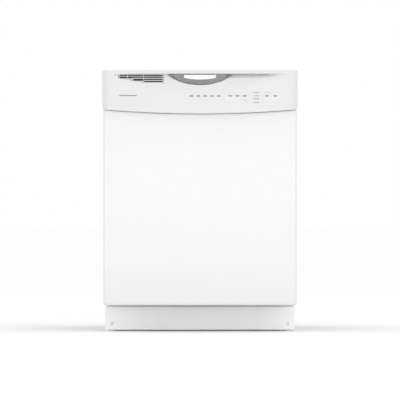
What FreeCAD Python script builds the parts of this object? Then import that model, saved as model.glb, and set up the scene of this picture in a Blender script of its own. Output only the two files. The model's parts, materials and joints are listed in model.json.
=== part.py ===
import FreeCAD, Part
import math
import os

# Built in dishwasher, 24 inch class. Millimetres, +Z up, front faces -Y.
# Origin: on the floor, under the middle of the overall box.

V = FreeCAD.Vector

# ---- driving dimensions -------------------------------------------------
fascia_width = 606.0
fascia_overhang = 3.0
door_width = fascia_width - 2 * fascia_overhang
depth = 625.0
height = 811.0
door_thickness = 60.0
fascia_forward = 17.5
fascia_height_end = 122.0
fascia_height_middle = 135.0
door_bottom_z = 82.0
toe_kick_bottom_z = 3.0
toe_kick_height = 74.0
toe_kick_inset = 3.0
toe_kick_width = door_width - 2 * toe_kick_inset
door_side_room = 17.0
tub_width = door_width - 2 * door_side_room
tub_wall = 3.0
tub_floor_z = 117.0
top_room = 24.0
tub_top_z = height - top_room
body_back_y = depth / 2.0
sheet = 1.2
plastic = 3.0
gap = 0.4
fit_gap = 0.06

# ---- door and hinge -----------------------------------------------------
front_y = -depth / 2.0
panel_front_y = front_y + fascia_forward
liner_back_y = panel_front_y + door_thickness
liner_front_y = liner_back_y - 27.0
liner_half = tub_width / 2.0
liner_top_z = tub_top_z + 2.0
hinge_inset = 8.0
hinge_rise = 50.0
hinge_y = liner_back_y - hinge_inset
hinge_z = door_bottom_z + hinge_rise
liner_bottom_z = hinge_z - 6.0
hinge_pin_r = 5.0
hinge_boss_r = 13.0
hinge_arm_length = 290.0
hinge_arm_thickness = 3.6
hinge_ear_thickness = 3.0
hinge_ear_half = 11.0
hinge_bracket_length = 70.0
hinge_bracket_drop = 83.0
arm_x0 = liner_half + 1.0
ear_x0 = arm_x0 + hinge_arm_thickness + 0.6

# ---- tub ----------------------------------------------------------------
tub_half = tub_width / 2.0
tub_inner_half = tub_half - tub_wall
tub_front_y = liner_back_y + 4.0
tub_back_y = body_back_y
tub_floor_top = tub_floor_z + tub_wall
ledge_height = 20.7
ledge_width = 28.0
ledge_top_z = tub_floor_top + ledge_height
dam_height = 16.0
opening_bottom_z = hinge_z + 17.0
frame_half = door_width / 2.0 - 3.0
frame_depth = 19.0
frame_top_z = tub_top_z + 15.0
blanket_thickness = 10.0
blanket_front_y = tub_front_y + 43.0
gasket_width = 11.0
gasket_thickness = 3.4

# ---- base ---------------------------------------------------------------
base_bottom_z = 16.0
base_panel = 7.0
base_front_y = tub_front_y + 55.0
base_inner_half = tub_half - base_panel
toe_kick_y = hinge_y + 53.0
leg_x = base_inner_half - 20.0
leg_front_y = base_front_y + 26.0
leg_back_y = tub_back_y - 26.0
leg_stem_r = 5.0
leg_stem_top = 108.0
leg_foot_r = 19.0
leg_foot_height = 8.0
leg_plate_z = 34.0
leg_plate_thickness = 8.0
leg_clearance = 0.3
toe_kick_screw_z = toe_kick_bottom_z + 20.0
toe_kick_screw_r = 2.0
spring_r = 8.0
spring_pin_r = 3.0
spring_x = base_inner_half - 14.0
spring_z = 86.0
spring_front_y = -60.0
spring_back_y = 160.0
bracket_x = 215.0
bracket_width = 40.0
bracket_hole_r = 2.5
bracket_thickness = 2.0
bracket_hole_y = tub_front_y + 28.0

# ---- wash system --------------------------------------------------------
wash_y = 30.0
sump_r = 93.0
sump_bottom_z = 50.0
sump_flange_r = 108.0
hub_post_r = 12.0
hub_post_top = 147.0
cup_x = 42.0
cup_y = wash_y - 32.0
cup_r = 28.0
cup_bottom_z = 70.0
filter_plate_r = 104.0
filter_plate_thickness = 2.0
lower_arm_reach = 245.0
upper_arm_reach = 215.0
arm_width = 42.0
lower_arm_z = 143.0
upper_arm_y = 10.0
upper_arm_z = 441.0
arm_thickness = 11.0
manifold_z = 462.0
manifold_r = 8.0
feed_tube_r = 9.0
feed_tube_y = tub_back_y - tub_wall - feed_tube_r - 4.0
heater_ring_r = 190.0
heater_tube_r = 3.2
heater_z = 130.0
heater_foot_x = 14.0
float_x = -215.0
float_y = -178.0
float_r = 22.0
float_stem_r = 5.0
pump_z = 64.0
motor_r = 40.0
volute_r = 46.0
impeller_r = 30.0
pump_shaft_r = 4.0
upper_post_r = 7.5
drain_pump_z = 80.0
drain_pump_r = 26.0
drain_spigot_r = 9.0
drain_spigot_length = 28.0
drain_hose_grip = 24.0
drain_hose_hole_r = 20.0
valve_x = -175.0
valve_y = -125.0
valve_z = 32.0
valve_stub_r = 8.5
valve_stub_length = 18.0
junction_x = 180.0
junction_y = -130.0
junction_z = 32.0
junction_height = 44.0
cable_hole_r = 11.0
junction_wall = 2.0

# ---- racks --------------------------------------------------------------
wire_r = 2.0
rim_r = 2.8
tine_r = 1.5
wire_gap = 0.05
lower_rack_half = tub_half - 35.0
lower_rack_front = liner_back_y + 50.0
lower_rack_back = tub_back_y - 47.5
lower_rack_z = 169.0
lower_rack_top = 319.0
lower_wheel_r = 18.0
lower_wheel_width = 11.0
lower_wheel_x = tub_half - 27.0
lower_front_wheel_y = -100.0
lower_rear_wheel_y = 200.0
lower_axle_r = 4.0
upper_rack_half = tub_half - 38.0
upper_rack_front = liner_back_y + 20.0
upper_rack_back = tub_back_y - 77.5
upper_rack_z = 475.0
upper_rack_top = 589.0
roller_r = 9.5
roller_width = 8.0
roller_x = tub_half - 24.5
roller_front_y = 20.0
roller_rear_y = 190.0
roller_z = 572.0
roller_axle_r = 3.0
rail_front_y = tub_front_y + 9.0
rail_length = 447.0
slide_front_y = upper_rack_front
slide_length = 440.0
rail_lip = 3.0
basket_x = lower_rack_half - 63.0
basket_width = 100.0
basket_front = lower_rack_front + 15.0
basket_length = 240.0
basket_height = 128.0
basket_wall = 2.5
basket_handle = 40.0
lower_tine_rows = [-200.0, -120.0, -40.0, 40.0]
lower_tine_height = 62.0
upper_tine_rows = [-170.0, 0.0, 170.0]
upper_tine_height = 40.0
slide_half_height = roller_r + 0.5 + rail_lip

# ---- fascia details -----------------------------------------------------
lip_depth = 11.4
scoop_depth = 59.0
scoop_arc_r = 957.0
scoop_slope = math.radians(14.6)
pocket_r = 190.0
pocket_depth = 47.0
pocket_back_y = front_y + 39.5
fascia_back_y = liner_front_y - 2.0
fascia_bow = 3.5
fascia_corner = 22.0
panel_gap = 1.5
panel_corner_r = 7.0
handle_half = 50.0
handle_drop = 26.5
handle_pivot_r = 2.0
key_size = (15.0, 7.5)
key_depth = 8.0
key_row_z = height - 80.0
cycle_key_x = [-26.0, -5.0, 16.0, 37.0, 58.0]
option_key_x = [94.0, 116.0, 138.0]
start_key_x = [207.0, 233.0]
lamp_x = 171.0
lamp_r = 1.6
lamp_depths = [70.0, 80.0, 89.0, 100.0]
vent_right_x = -113.0
vent_left_x = -252.0
vent_knee_x = -176.0
vent_rows = [(16.1, -248.0), (22.0, -248.0), (28.8, -210.0), (35.6, -173.0)]
vent_slot = 4.0
vent_ribs = [-225.0, -175.0]
handle_pivot_y = front_y + 7.5
handle_pivot_z = height - lip_depth - 6.6

# ---- dispenser and latch ------------------------------------------------
dispenser_x0 = -110.0
dispenser_x1 = 70.0
dispenser_z0 = 349.0
dispenser_z1 = 439.0
dispenser_proud = 14.0
lid_x0 = -100.0
lid_x1 = -30.0
lid_z0 = 365.0
lid_z1 = 425.0
lid_thickness = 3.0
lid_pin_r = 1.5
cap_x = 25.0
cap_z = 394.0
rinse_cap_r = 16.0
rinse_neck_r = 10.0
dispenser_face_y = liner_back_y + dispenser_proud
lid_pin_y = dispenser_face_y + 2.0
latch_half = 35.0
hook_gap = 0.6
strike_thickness = 2.2


def save(node, shape):
    shape.exportStep("parts/" + node + ".step")


def block(x0, x1, y0, y1, z0, z1):
    """Box between two corners."""
    return Part.makeBox(x1 - x0, y1 - y0, z1 - z0, V(x0, y0, z0))


def rod(start, end, radius):
    """Round bar from one point to another."""
    a = V(*start)
    b = V(*end)
    return Part.makeCylinder(radius, (b - a).Length, a, b - a)


def both_sides(solid):
    """The solid and its mirror image across the YZ plane."""
    return [solid, solid.mirror(V(0, 0, 0), V(1, 0, 0))]


def fuse(solids):
    result = solids[0].multiFuse(solids[1:])
    return result.removeSplitter()


def group(solids):
    return Part.makeCompound(solids)


def prism_y(points, y0, y1):
    """Prism along Y over a closed outline given in X and Z."""
    wire = Part.makePolygon([V(x, y0, z) for x, z in points + points[:1]])
    return Part.Face(wire).extrude(V(0, y1 - y0, 0))


# ---- cabinet ------------------------------------------------------------
def make_tub():
    shell = block(-tub_half, tub_half, tub_front_y, tub_back_y, tub_floor_z, tub_top_z)
    room = block(-tub_inner_half, tub_inner_half, tub_front_y - 1, tub_back_y - tub_wall,
                 tub_floor_top, tub_top_z - tub_wall)
    ledge = block(tub_inner_half - ledge_width, tub_inner_half, tub_front_y + 3, tub_back_y - tub_wall,
                  tub_floor_top, ledge_top_z)
    dam = block(-tub_inner_half, tub_inner_half, tub_front_y, tub_front_y + 3,
                tub_floor_top, tub_floor_top + dam_height)
    tub = fuse([shell.cut(room), dam])
    sump_hole = rod((0, wash_y, tub_floor_z - 1), (0, wash_y, tub_floor_top + 1), sump_r + gap)
    float_hole = rod((float_x, float_y, tub_floor_z - 1), (float_x, float_y, tub_floor_top + 1),
                     float_stem_r + leg_clearance)
    return group([tub.cut(sump_hole).cut(float_hole)] + both_sides(ledge))


def make_front_frame():
    outer = block(-frame_half, frame_half, tub_front_y, tub_front_y + frame_depth,
                  opening_bottom_z, frame_top_z)
    inner = block(-tub_half - gap, tub_half + gap, tub_front_y - 1, tub_front_y + frame_depth + 1,
                  opening_bottom_z - 1, tub_top_z + gap)
    return outer.cut(inner)


def make_gasket():
    y1 = tub_front_y - 0.1
    y0 = y1 - gasket_thickness
    outer = block(-tub_half, tub_half, y0, y1, opening_bottom_z, tub_top_z)
    inner = block(-tub_half + gasket_width, tub_half - gasket_width, y0 - 1, y1 + 1,
                  opening_bottom_z - 1, tub_top_z - gasket_width)
    return outer.cut(inner)


def make_blanket():
    outer = block(-tub_half - gap - blanket_thickness, tub_half + gap + blanket_thickness,
                  blanket_front_y, tub_back_y - 8, opening_bottom_z, tub_top_z + gap + blanket_thickness)
    inner = block(-tub_half - gap, tub_half + gap, blanket_front_y - 1, tub_back_y,
                  opening_bottom_z - 1, tub_top_z + gap)
    return outer.cut(inner)


def leg_centres():
    return [(name, sx * leg_x, y) for name, sx, y in (
        ("front_left", -1, leg_front_y), ("front_right", 1, leg_front_y),
        ("rear_left", -1, leg_back_y), ("rear_right", 1, leg_back_y))]


def toe_kick_screw_x():
    return toe_kick_width / 2.0 - 22.0


def make_base_frame():
    top = tub_floor_z - gap
    side = block(base_inner_half, tub_half, base_front_y, tub_back_y, base_bottom_z, top)
    front = block(-tub_half, tub_half, base_front_y - 6, base_front_y, base_bottom_z, base_bottom_z + 70)
    back = block(-tub_half, tub_half, tub_back_y - 6, tub_back_y, base_bottom_z, top)
    anchor = rod((spring_x, spring_back_y, spring_z), (base_inner_half, spring_back_y, spring_z),
                 spring_pin_r)
    pieces = both_sides(side) + [front, back] + both_sides(anchor)
    holes = []
    for name, x, y in leg_centres():
        inward = leg_x - 20.0
        x0 = min(math.copysign(inward, x), math.copysign(base_inner_half, x))
        x1 = max(math.copysign(inward, x), math.copysign(base_inner_half, x))
        y0 = y - 26 if y < 0 else y - 20
        pieces.append(block(x0, x1, y0, y0 + 46, leg_plate_z, leg_plate_z + leg_plate_thickness))
        holes.append(rod((x, y, leg_plate_z - 1), (x, y, leg_plate_z + leg_plate_thickness + 1),
                         leg_stem_r + leg_clearance))
    for sx in (-1, 1):
        x = sx * toe_kick_screw_x()
        holes.append(rod((x, base_front_y - 7, toe_kick_screw_z), (x, base_front_y + 1, toe_kick_screw_z),
                         toe_kick_screw_r + 0.1))
    hose_x = -sump_r - 21.0
    holes.append(rod((hose_x, tub_back_y - 7, drain_pump_z), (hose_x, tub_back_y + 1, drain_pump_z),
                     drain_hose_hole_r))
    frame = fuse(pieces)
    for hole in holes:
        frame = frame.cut(hole)
    return frame


def make_springs():
    end_y = spring_back_y - spring_pin_r
    spring = rod((spring_x, spring_front_y, spring_z), (spring_x, end_y, spring_z), spring_r)
    return group(both_sides(spring))


def make_leg(x, y):
    foot = rod((x, y, 0), (x, y, leg_foot_height), leg_foot_r)
    stem = rod((x, y, leg_foot_height), (x, y, leg_stem_top), leg_stem_r)
    return fuse([foot, stem])


def make_toe_kick():
    half = toe_kick_width / 2.0
    top = toe_kick_bottom_z + toe_kick_height
    back_y = base_front_y - 6 - gap
    outer = block(-half, half, toe_kick_y, back_y, toe_kick_bottom_z, top)
    inner = block(-half + sheet, half - sheet, toe_kick_y + sheet, back_y + 1,
                  toe_kick_bottom_z - 1, top - sheet)
    panel = outer.cut(inner)
    for sx in (-1, 1):
        x = sx * toe_kick_screw_x()
        panel = panel.cut(rod((x, toe_kick_y - 1, toe_kick_screw_z), (x, toe_kick_y + 3, toe_kick_screw_z),
                              toe_kick_screw_r + 0.1))
    return panel


def make_toe_kick_screws():
    x = toe_kick_screw_x()
    z = toe_kick_screw_z
    head = rod((x, toe_kick_y - 2.2, z), (x, toe_kick_y - 0.05, z), 4.2)
    shank = rod((x, toe_kick_y - 0.05, z), (x, base_front_y - 0.2, z), toe_kick_screw_r)
    return group(both_sides(fuse([head, shank])))


def make_mounting_brackets():
    z0 = frame_top_z + 0.1
    plate = block(bracket_x - bracket_width / 2, bracket_x + bracket_width / 2, tub_front_y,
                  tub_front_y + 38, z0, z0 + bracket_thickness)
    hole = rod((bracket_x, bracket_hole_y, z0 - 1), (bracket_x, bracket_hole_y, z0 + bracket_thickness + 1),
               bracket_hole_r)
    return group(both_sides(plate.cut(hole)))


def make_hinge_brackets():
    x1 = ear_x0 + hinge_ear_thickness
    y0 = base_front_y + 5
    y1 = base_front_y + hinge_bracket_length
    low = hinge_z - hinge_bracket_drop
    ear = block(ear_x0, x1, hinge_y - hinge_ear_half, y1, hinge_z - hinge_ear_half, hinge_z + hinge_ear_half)
    plate = block(ear_x0, x1, y0, y1, low, hinge_z)
    spacer = block(tub_half, ear_x0, y0, y1, low, tub_floor_z - gap)
    pin = rod((arm_x0 - 0.3, hinge_y, hinge_z), (ear_x0 + 1, hinge_y, hinge_z), hinge_pin_r)
    return group(both_sides(fuse([ear, plate, spacer, pin])))


# ---- wash system --------------------------------------------------------
def make_sump():
    top = tub_floor_z - 0.3
    wall = rod((0, wash_y, sump_bottom_z), (0, wash_y, top), sump_r)
    flange = rod((0, wash_y, top - 3), (0, wash_y, top), sump_flange_r)
    room = rod((0, wash_y, sump_bottom_z + plastic), (0, wash_y, top + 1), sump_r - plastic)
    post = rod((0, wash_y, sump_bottom_z + 1), (0, wash_y, hub_post_top), hub_post_r)
    return fuse([fuse([wall, flange]).cut(room), post])


def make_filter_plate():
    z0 = tub_floor_top + 0.3
    z1 = z0 + filter_plate_thickness
    plate = rod((0, wash_y, z0), (0, wash_y, z1), filter_plate_r)
    post_hole = rod((0, wash_y, z0 - 1), (0, wash_y, z1 + 1), hub_post_r + gap)
    cup_hole = rod((cup_x, cup_y, z0 - 1), (cup_x, cup_y, z1 + 1), cup_r + gap)
    return plate.cut(post_hole).cut(cup_hole)


def make_filter_cup():
    rim_z = tub_floor_top + 0.3 + filter_plate_thickness + gap
    body = rod((cup_x, cup_y, cup_bottom_z), (cup_x, cup_y, rim_z), cup_r)
    rim = rod((cup_x, cup_y, rim_z), (cup_x, cup_y, rim_z + 2.4), cup_r + 3)
    room = rod((cup_x, cup_y, cup_bottom_z + 2), (cup_x, cup_y, rim_z + 4), cup_r - 2)
    bar = block(cup_x - cup_r + 1, cup_x + cup_r - 1, cup_y - 2.5, cup_y + 2.5, rim_z - 4, rim_z + 11)
    return fuse([fuse([body, rim]).cut(room), bar])


def make_spray_arm(y, z, reach, bore_r, bore_depth, hub_drop):
    """Flat bar with a round hub; the post enters the hub's blind bore."""
    bar = block(-reach, reach, y - arm_width / 2, y + arm_width / 2, z, z + arm_thickness)
    ends = rod((0, y, z), (0, y, z + arm_thickness), reach)
    hub = rod((0, y, z - hub_drop), (0, y, z + arm_thickness + 2), 25)
    arm = fuse([bar.common(ends), hub])
    if bore_depth > 0:
        bore = rod((0, y, z - hub_drop - 1), (0, y, z - hub_drop + bore_depth), bore_r)
    else:
        bore = rod((0, y, z + arm_thickness + 2 + bore_depth), (0, y, z + arm_thickness + 3), bore_r)
    return arm.cut(bore)


def make_lower_spray_arm():
    hub_drop = 3.0
    depth_in = hub_post_top + 0.5 - (lower_arm_z - hub_drop)
    return make_spray_arm(wash_y, lower_arm_z, lower_arm_reach, hub_post_r + fit_gap, depth_in, hub_drop)


def make_upper_spray_arm():
    return make_spray_arm(upper_arm_y, upper_arm_z - 2, upper_arm_reach, upper_post_r + fit_gap, -9.0, 1.0)


def make_wash_pump_motor():
    x0 = sump_r + 1.0
    volute = rod((x0, wash_y, pump_z), (x0 + 26, wash_y, pump_z), volute_r)
    cavity = rod((x0 + 3, wash_y, pump_z), (x0 + 22, wash_y, pump_z), impeller_r + 4)
    motor = rod((x0 + 26, wash_y, pump_z), (x0 + 120, wash_y, pump_z), motor_r)
    bore = rod((x0 + 21, wash_y, pump_z), (x0 + 33, wash_y, pump_z), pump_shaft_r + fit_gap)
    return fuse([volute, motor]).cut(cavity).cut(bore)


def make_wash_impeller():
    x0 = sump_r + 1.0
    disc = rod((x0 + 5, wash_y, pump_z), (x0 + 8, wash_y, pump_z), impeller_r)
    hub = rod((x0 + 5, wash_y, pump_z), (x0 + 20, wash_y, pump_z), 9)
    shaft = rod((x0 + 20, wash_y, pump_z), (x0 + 32, wash_y, pump_z), pump_shaft_r)
    vanes = []
    for i in range(6):
        vane = block(x0 + 8, x0 + 18, wash_y + 7, wash_y + impeller_r - 2, pump_z - 1, pump_z + 1)
        vane.rotate(V(0, wash_y, pump_z), V(1, 0, 0), 60 * i)
        vanes.append(vane)
    return fuse([disc, hub, shaft] + vanes)


def make_drain_pump():
    x0 = -sump_r - 1.0
    body = rod((x0 - 62, wash_y, drain_pump_z), (x0, wash_y, drain_pump_z), drain_pump_r)
    spigot = rod((x0 - 20, wash_y + drain_pump_r - 4, drain_pump_z),
                 (x0 - 20, wash_y + drain_pump_r + drain_spigot_length, drain_pump_z), drain_spigot_r)
    shoulder_y = wash_y + drain_pump_r + drain_spigot_length - drain_hose_grip
    shoulder = rod((x0 - 20, wash_y + drain_pump_r - 4, drain_pump_z),
                   (x0 - 20, shoulder_y, drain_pump_z), drain_spigot_r + 3)
    return fuse([body, spigot, shoulder])


def make_inlet_valve():
    body = block(valve_x - 24, valve_x + 24, valve_y - 20, valve_y + 20, valve_z, valve_z + 34)
    coil = rod((valve_x, valve_y, valve_z + 34), (valve_x, valve_y, valve_z + 66), 15)
    stub = rod((valve_x, valve_y, valve_z - valve_stub_length), (valve_x, valve_y, valve_z), valve_stub_r)
    return fuse([body, coil, stub])


def make_junction_box():
    x0 = junction_x - 30
    x1 = junction_x + 30
    y0 = junction_y - 28
    y1 = junction_y + 28
    outer = block(x0, x1, y0, y1, junction_z, junction_z + junction_height)
    inner = block(x0 + junction_wall, x1 - junction_wall, y0 + junction_wall, y1 - junction_wall,
                  junction_z + junction_wall, junction_z + junction_height - junction_wall)
    hole = rod((junction_x, junction_y, junction_z - 1),
               (junction_x, junction_y, junction_z + junction_wall + 1), cable_hole_r)
    return outer.cut(inner).cut(hole)


def make_heater():
    ring = Part.makeTorus(heater_ring_r, heater_tube_r, V(0, wash_y, heater_z), V(0, 0, 1))
    foot_y = wash_y + heater_ring_r - 1
    feet = []
    for x in (-heater_foot_x, heater_foot_x):
        feet.append(rod((x, foot_y, tub_floor_top + 0.1), (x, foot_y, heater_z), heater_tube_r))
    return fuse([ring] + feet)


def make_feed_tube():
    top = tub_top_z - tub_wall - 1
    riser = rod((0, feed_tube_y, tub_floor_top + 0.2), (0, feed_tube_y, top), feed_tube_r)
    branch = rod((0, upper_rack_back + 3, manifold_z), (0, feed_tube_y, manifold_z), manifold_r)
    z = tub_top_z - tub_wall - manifold_r - 2
    roof = rod((0, wash_y - manifold_r, z), (0, feed_tube_y, z), manifold_r)
    return fuse([riser, branch, roof])


def make_top_spray_head():
    z = tub_top_z - tub_wall - 2 * manifold_r - 2
    neck = rod((0, wash_y, z - 4), (0, wash_y, z - 0.05), 7)
    disc = Part.makeCone(38, 20, 7, V(0, wash_y, z - 11), V(0, 0, 1))
    return fuse([neck, disc])


def make_float():
    z0 = tub_floor_top + 1.5
    dome = rod((float_x, float_y, z0), (float_x, float_y, z0 + 24), float_r)
    cap = Part.makeCone(float_r, 12, 6, V(float_x, float_y, z0 + 24), V(0, 0, 1))
    stem = rod((float_x, float_y, tub_floor_z - 16), (float_x, float_y, z0), float_stem_r)
    return fuse([dome, cap, stem])


# ---- racks --------------------------------------------------------------
def spread(low, high, count):
    return [low + (high - low) * i / (count - 1) for i in range(count)]


def make_rack_wires(half, front, back, z, top, counts, tine_rows, tine_height):
    """Straight bars laid with a small gap: cross bars, long bars, uprights, rim and tines."""
    cross_count, long_count, end_count, side_count = counts
    long_z = z + 2 * wire_r + wire_gap
    post_z = long_z + wire_r + wire_gap
    post_top = top - rim_r - wire_gap
    bars = []
    for y in spread(front + 10, back - 10, cross_count):
        bars.append(rod((-half, y, z), (half, y, z), wire_r))
    for x in spread(-half, half, long_count):
        bars.append(rod((x, front, long_z), (x, back, long_z), wire_r))
    for x in spread(-half + 20, half - 20, end_count):
        for y in (front, back):
            bars.append(rod((x, y, post_z), (x, y, post_top), wire_r))
    for y in spread(front + 24, back - 24, side_count):
        for x in (-half, half):
            bars.append(rod((x, y, post_z), (x, y, post_top), wire_r))
    for y in (front, back):
        bars.append(rod((-half, y, top), (half, y, top), rim_r))
    for x in (-half, half):
        bars.append(rod((x, front + rim_r + wire_gap, top), (x, back - rim_r - wire_gap, top), rim_r))
    for x in tine_rows:
        for y in spread(front + 45, back - 45, 10):
            bars.append(rod((x, y, post_z), (x, y, post_z + tine_height), tine_r))
    return bars


def make_lower_rack():
    bars = make_rack_wires(lower_rack_half, lower_rack_front, lower_rack_back, lower_rack_z, lower_rack_top,
                           (7, 9, 8, 7), lower_tine_rows, lower_tine_height)
    wheel_z = ledge_top_z + 0.3 + lower_wheel_r
    x0 = lower_rack_half + wire_r + 0.1
    for y in (lower_front_wheel_y, lower_rear_wheel_y):
        for plate in both_sides(block(x0, x0 + 3, y - 14, y + 14, wheel_z - 5, lower_rack_z + 30)):
            bars.append(plate)
        for axle in both_sides(rod((x0 + 3, y, wheel_z), (lower_wheel_x + lower_wheel_width + 1, y, wheel_z),
                                   lower_axle_r)):
            bars.append(axle)
    return group(bars)


def make_lower_wheels(y):
    z = ledge_top_z + 0.3 + lower_wheel_r
    x1 = lower_wheel_x + lower_wheel_width
    disc = rod((lower_wheel_x, y, z), (x1, y, z), lower_wheel_r)
    bore = rod((lower_wheel_x - 1, y, z), (x1 + 1, y, z), lower_axle_r + fit_gap)
    return group(both_sides(disc.cut(bore)))


def make_upper_rack():
    bars = make_rack_wires(upper_rack_half, upper_rack_front, upper_rack_back, upper_rack_z, upper_rack_top,
                           (6, 9, 8, 7), upper_tine_rows, upper_tine_height)
    x0 = upper_rack_half + wire_r + 0.1
    for y in (roller_front_y, roller_rear_y):
        for plate in both_sides(block(x0, x0 + 3, y - 12, y + 12, roller_z - 12, roller_z + 12)):
            bars.append(plate)
        for axle in both_sides(rod((x0 + 3, y, roller_z), (roller_x + roller_width + 0.5, y, roller_z),
                                   roller_axle_r)):
            bars.append(axle)
    tube = rod((0, upper_arm_y - manifold_r, manifold_z), (0, upper_rack_back + 1, manifold_z), manifold_r)
    post = rod((0, upper_arm_y, upper_arm_z + 3), (0, upper_arm_y, manifold_z), upper_post_r)
    bars.append(fuse([tube, post]))
    return group(bars)


def make_upper_rollers(y):
    x1 = roller_x + roller_width
    disc = rod((roller_x, y, roller_z), (x1, y, roller_z), roller_r)
    bore = rod((roller_x - 1, y, roller_z), (x1 + 1, y, roller_z), roller_axle_r + fit_gap)
    return group(both_sides(disc.cut(bore)))


def channel(x_open, x_back, web, y0, y1, z0, z1):
    """C section along Y: a web at the back and two lips that reach to the open side."""
    return fuse([block(x_back - web, x_back, y0, y1, z0, z1),
                 block(x_open, x_back, y0, y1, z0, z0 + rail_lip),
                 block(x_open, x_back, y0, y1, z1 - rail_lip, z1)])


def make_slide_rails():
    x0 = roller_x - 0.5
    rail = channel(x0, x0 + 12.5, 2.5, slide_front_y, slide_front_y + slide_length,
                   roller_z - slide_half_height, roller_z + slide_half_height)
    return group(both_sides(rail))


def make_rack_rails():
    half = slide_half_height + 1.0 + rail_lip
    rail = channel(roller_x + 3.5, tub_inner_half - 0.3, 3.7, rail_front_y, rail_front_y + rail_length,
                   roller_z - half, roller_z + half)
    return group(both_sides(rail))


def make_basket():
    x0 = basket_x - basket_width / 2
    x1 = basket_x + basket_width / 2
    y0 = basket_front
    y1 = basket_front + basket_length
    z0 = lower_rack_z + 3 * wire_r + wire_gap + 1
    z1 = z0 + basket_height
    w = basket_wall
    cells = 3
    pitch = (basket_length - w) / cells
    basket = block(x0, x1, y0, y1, z0, z1)
    for i in range(cells):
        low = y0 + w + i * pitch
        basket = basket.cut(block(x0 + w, x1 - w, low, low + pitch - w, z0 + w, z1 + 1))
    middle = y0 + w + pitch - w / 2
    grip = block(basket_x - 26, basket_x + 26, middle - w / 2, middle + w / 2, z1 - 10, z1 + basket_handle)
    hand_hole = block(basket_x - 18, basket_x + 18, middle - 5, middle + 5, z1 + 12, z1 + basket_handle - 6)
    return fuse([basket, grip.cut(hand_hole)])


# ---- door ---------------------------------------------------------------
def fascia_edge_z(x):
    """Height of the fascia's bowed lower edge at x."""
    half = fascia_width / 2.0
    rise = fascia_height_middle - fascia_height_end
    return height - fascia_height_middle + rise * (x / half) ** 2


def bowed_prism(half, low_z, high_z, low_bowed, y0, y1):
    """Prism along Y; its bowed side is an arc through its two ends and its middle."""
    if low_bowed:
        a, m, b = low_z(half), low_z(0), low_z(half)
        arc = Part.Arc(V(-half, y0, a), V(0, y0, m), V(half, y0, b)).toShape()
        edges = [arc, Part.makeLine(V(half, y0, b), V(half, y0, high_z)),
                 Part.makeLine(V(half, y0, high_z), V(-half, y0, high_z)),
                 Part.makeLine(V(-half, y0, high_z), V(-half, y0, a))]
    else:
        a, m, b = high_z(half), high_z(0), high_z(half)
        arc = Part.Arc(V(half, y0, b), V(0, y0, m), V(-half, y0, a)).toShape()
        edges = [Part.makeLine(V(-half, y0, low_z), V(half, y0, low_z)),
                 Part.makeLine(V(half, y0, low_z), V(half, y0, b)), arc,
                 Part.makeLine(V(-half, y0, a), V(-half, y0, low_z))]
    return Part.Face(Part.Wire(edges)).extrude(V(0, y1 - y0, 0))


def round_bottom(prism, length, radius):
    """Fillet the two lower edges that run along Y for the given length."""
    middle_z = prism.BoundBox.Center.z
    edges = [e for e in prism.Edges if abs(e.Length - length) < 0.01 and e.BoundBox.ZMax < middle_z
             and e.BoundBox.YLength > length / 2]
    return prism.makeFillet(radius, edges)


def make_door_panel():
    half = door_width / 2.0
    outer = bowed_prism(half, door_bottom_z, lambda x: fascia_edge_z(x) - panel_gap, False,
                        panel_front_y, liner_front_y)
    outer = round_bottom(outer, liner_front_y - panel_front_y, panel_corner_r)
    inner = bowed_prism(half - sheet, door_bottom_z + sheet, lambda x: fascia_edge_z(x) - panel_gap - sheet,
                        False, panel_front_y + sheet, liner_front_y + 1)
    return outer.cut(round_bottom(inner, liner_front_y + 1 - panel_front_y - sheet, panel_corner_r - sheet))


def plan_prism(inset, back_y):
    """Bowed front and rounded ends seen from above, carried up the fascia's height."""
    half = fascia_width / 2.0 - inset
    flat = fascia_width / 2.0 - fascia_corner
    y0 = front_y + inset
    r = fascia_corner - inset
    z0 = height - fascia_height_middle - 5
    ye = front_y + fascia_bow + inset
    k = math.sqrt(0.5)
    edges = [Part.Arc(V(-flat, ye, z0), V(0, y0, z0), V(flat, ye, z0)).toShape(),
             Part.Arc(V(flat, ye, z0), V(flat + r * k, ye + r * (1 - k), z0), V(half, ye + r, z0)).toShape(),
             Part.makeLine(V(half, ye + r, z0), V(half, back_y, z0)),
             Part.makeLine(V(half, back_y, z0), V(-half, back_y, z0)),
             Part.makeLine(V(-half, back_y, z0), V(-half, ye + r, z0)),
             Part.Arc(V(-half, ye + r, z0), V(-flat - r * k, ye + r * (1 - k), z0),
                      V(-flat, ye, z0)).toShape()]
    return Part.Face(Part.Wire(edges)).extrude(V(0, 0, fascia_height_middle + 10))


def face_y(x):
    """Front surface of the fascia at x, ends left out."""
    flat = fascia_width / 2.0 - fascia_corner
    return front_y + fascia_bow * (x / flat) ** 2


def scoop_tool(grow):
    """Slanted cylinder whose lowest line leaves the front face along the scoop's bottom arc."""
    radius = scoop_arc_r / math.sin(scoop_slope)
    along = V(0, math.sin(scoop_slope), math.cos(scoop_slope))
    normal = V(0, -math.cos(scoop_slope), math.sin(scoop_slope))
    low = V(0, front_y, height - scoop_depth)
    base = low + normal * radius - along * 300
    tool = Part.makeCylinder(radius + grow, 600, base, along)
    half = fascia_width / 2.0
    limit = block(-half - 20, half + 20, front_y - 20, front_y + 30, height - scoop_depth - 40,
                  height - lip_depth + grow)
    return tool.common(limit)


def pocket_tool(grow):
    """Segment of a cylinder under the lip, open to the front."""
    centre_z = height - pocket_depth + pocket_r
    bar = rod((0, front_y - 1, centre_z), (0, pocket_back_y + grow, centre_z), pocket_r + grow)
    limit = block(-pocket_r, pocket_r, front_y - 2, pocket_back_y + grow + 1,
                  height - pocket_depth - 10, height - lip_depth + grow)
    return bar.common(limit)


def vent_window(inset):
    top = height - lip_depth - 2 - inset
    low = height - 38.5 + inset
    right = vent_right_x - inset
    left = vent_left_x + inset
    outline = [(right, top), (left, top), (left, height - 25), (vent_knee_x + inset, low), (right, low)]
    return prism_y(outline, front_y - 2, front_y + 25)


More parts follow.
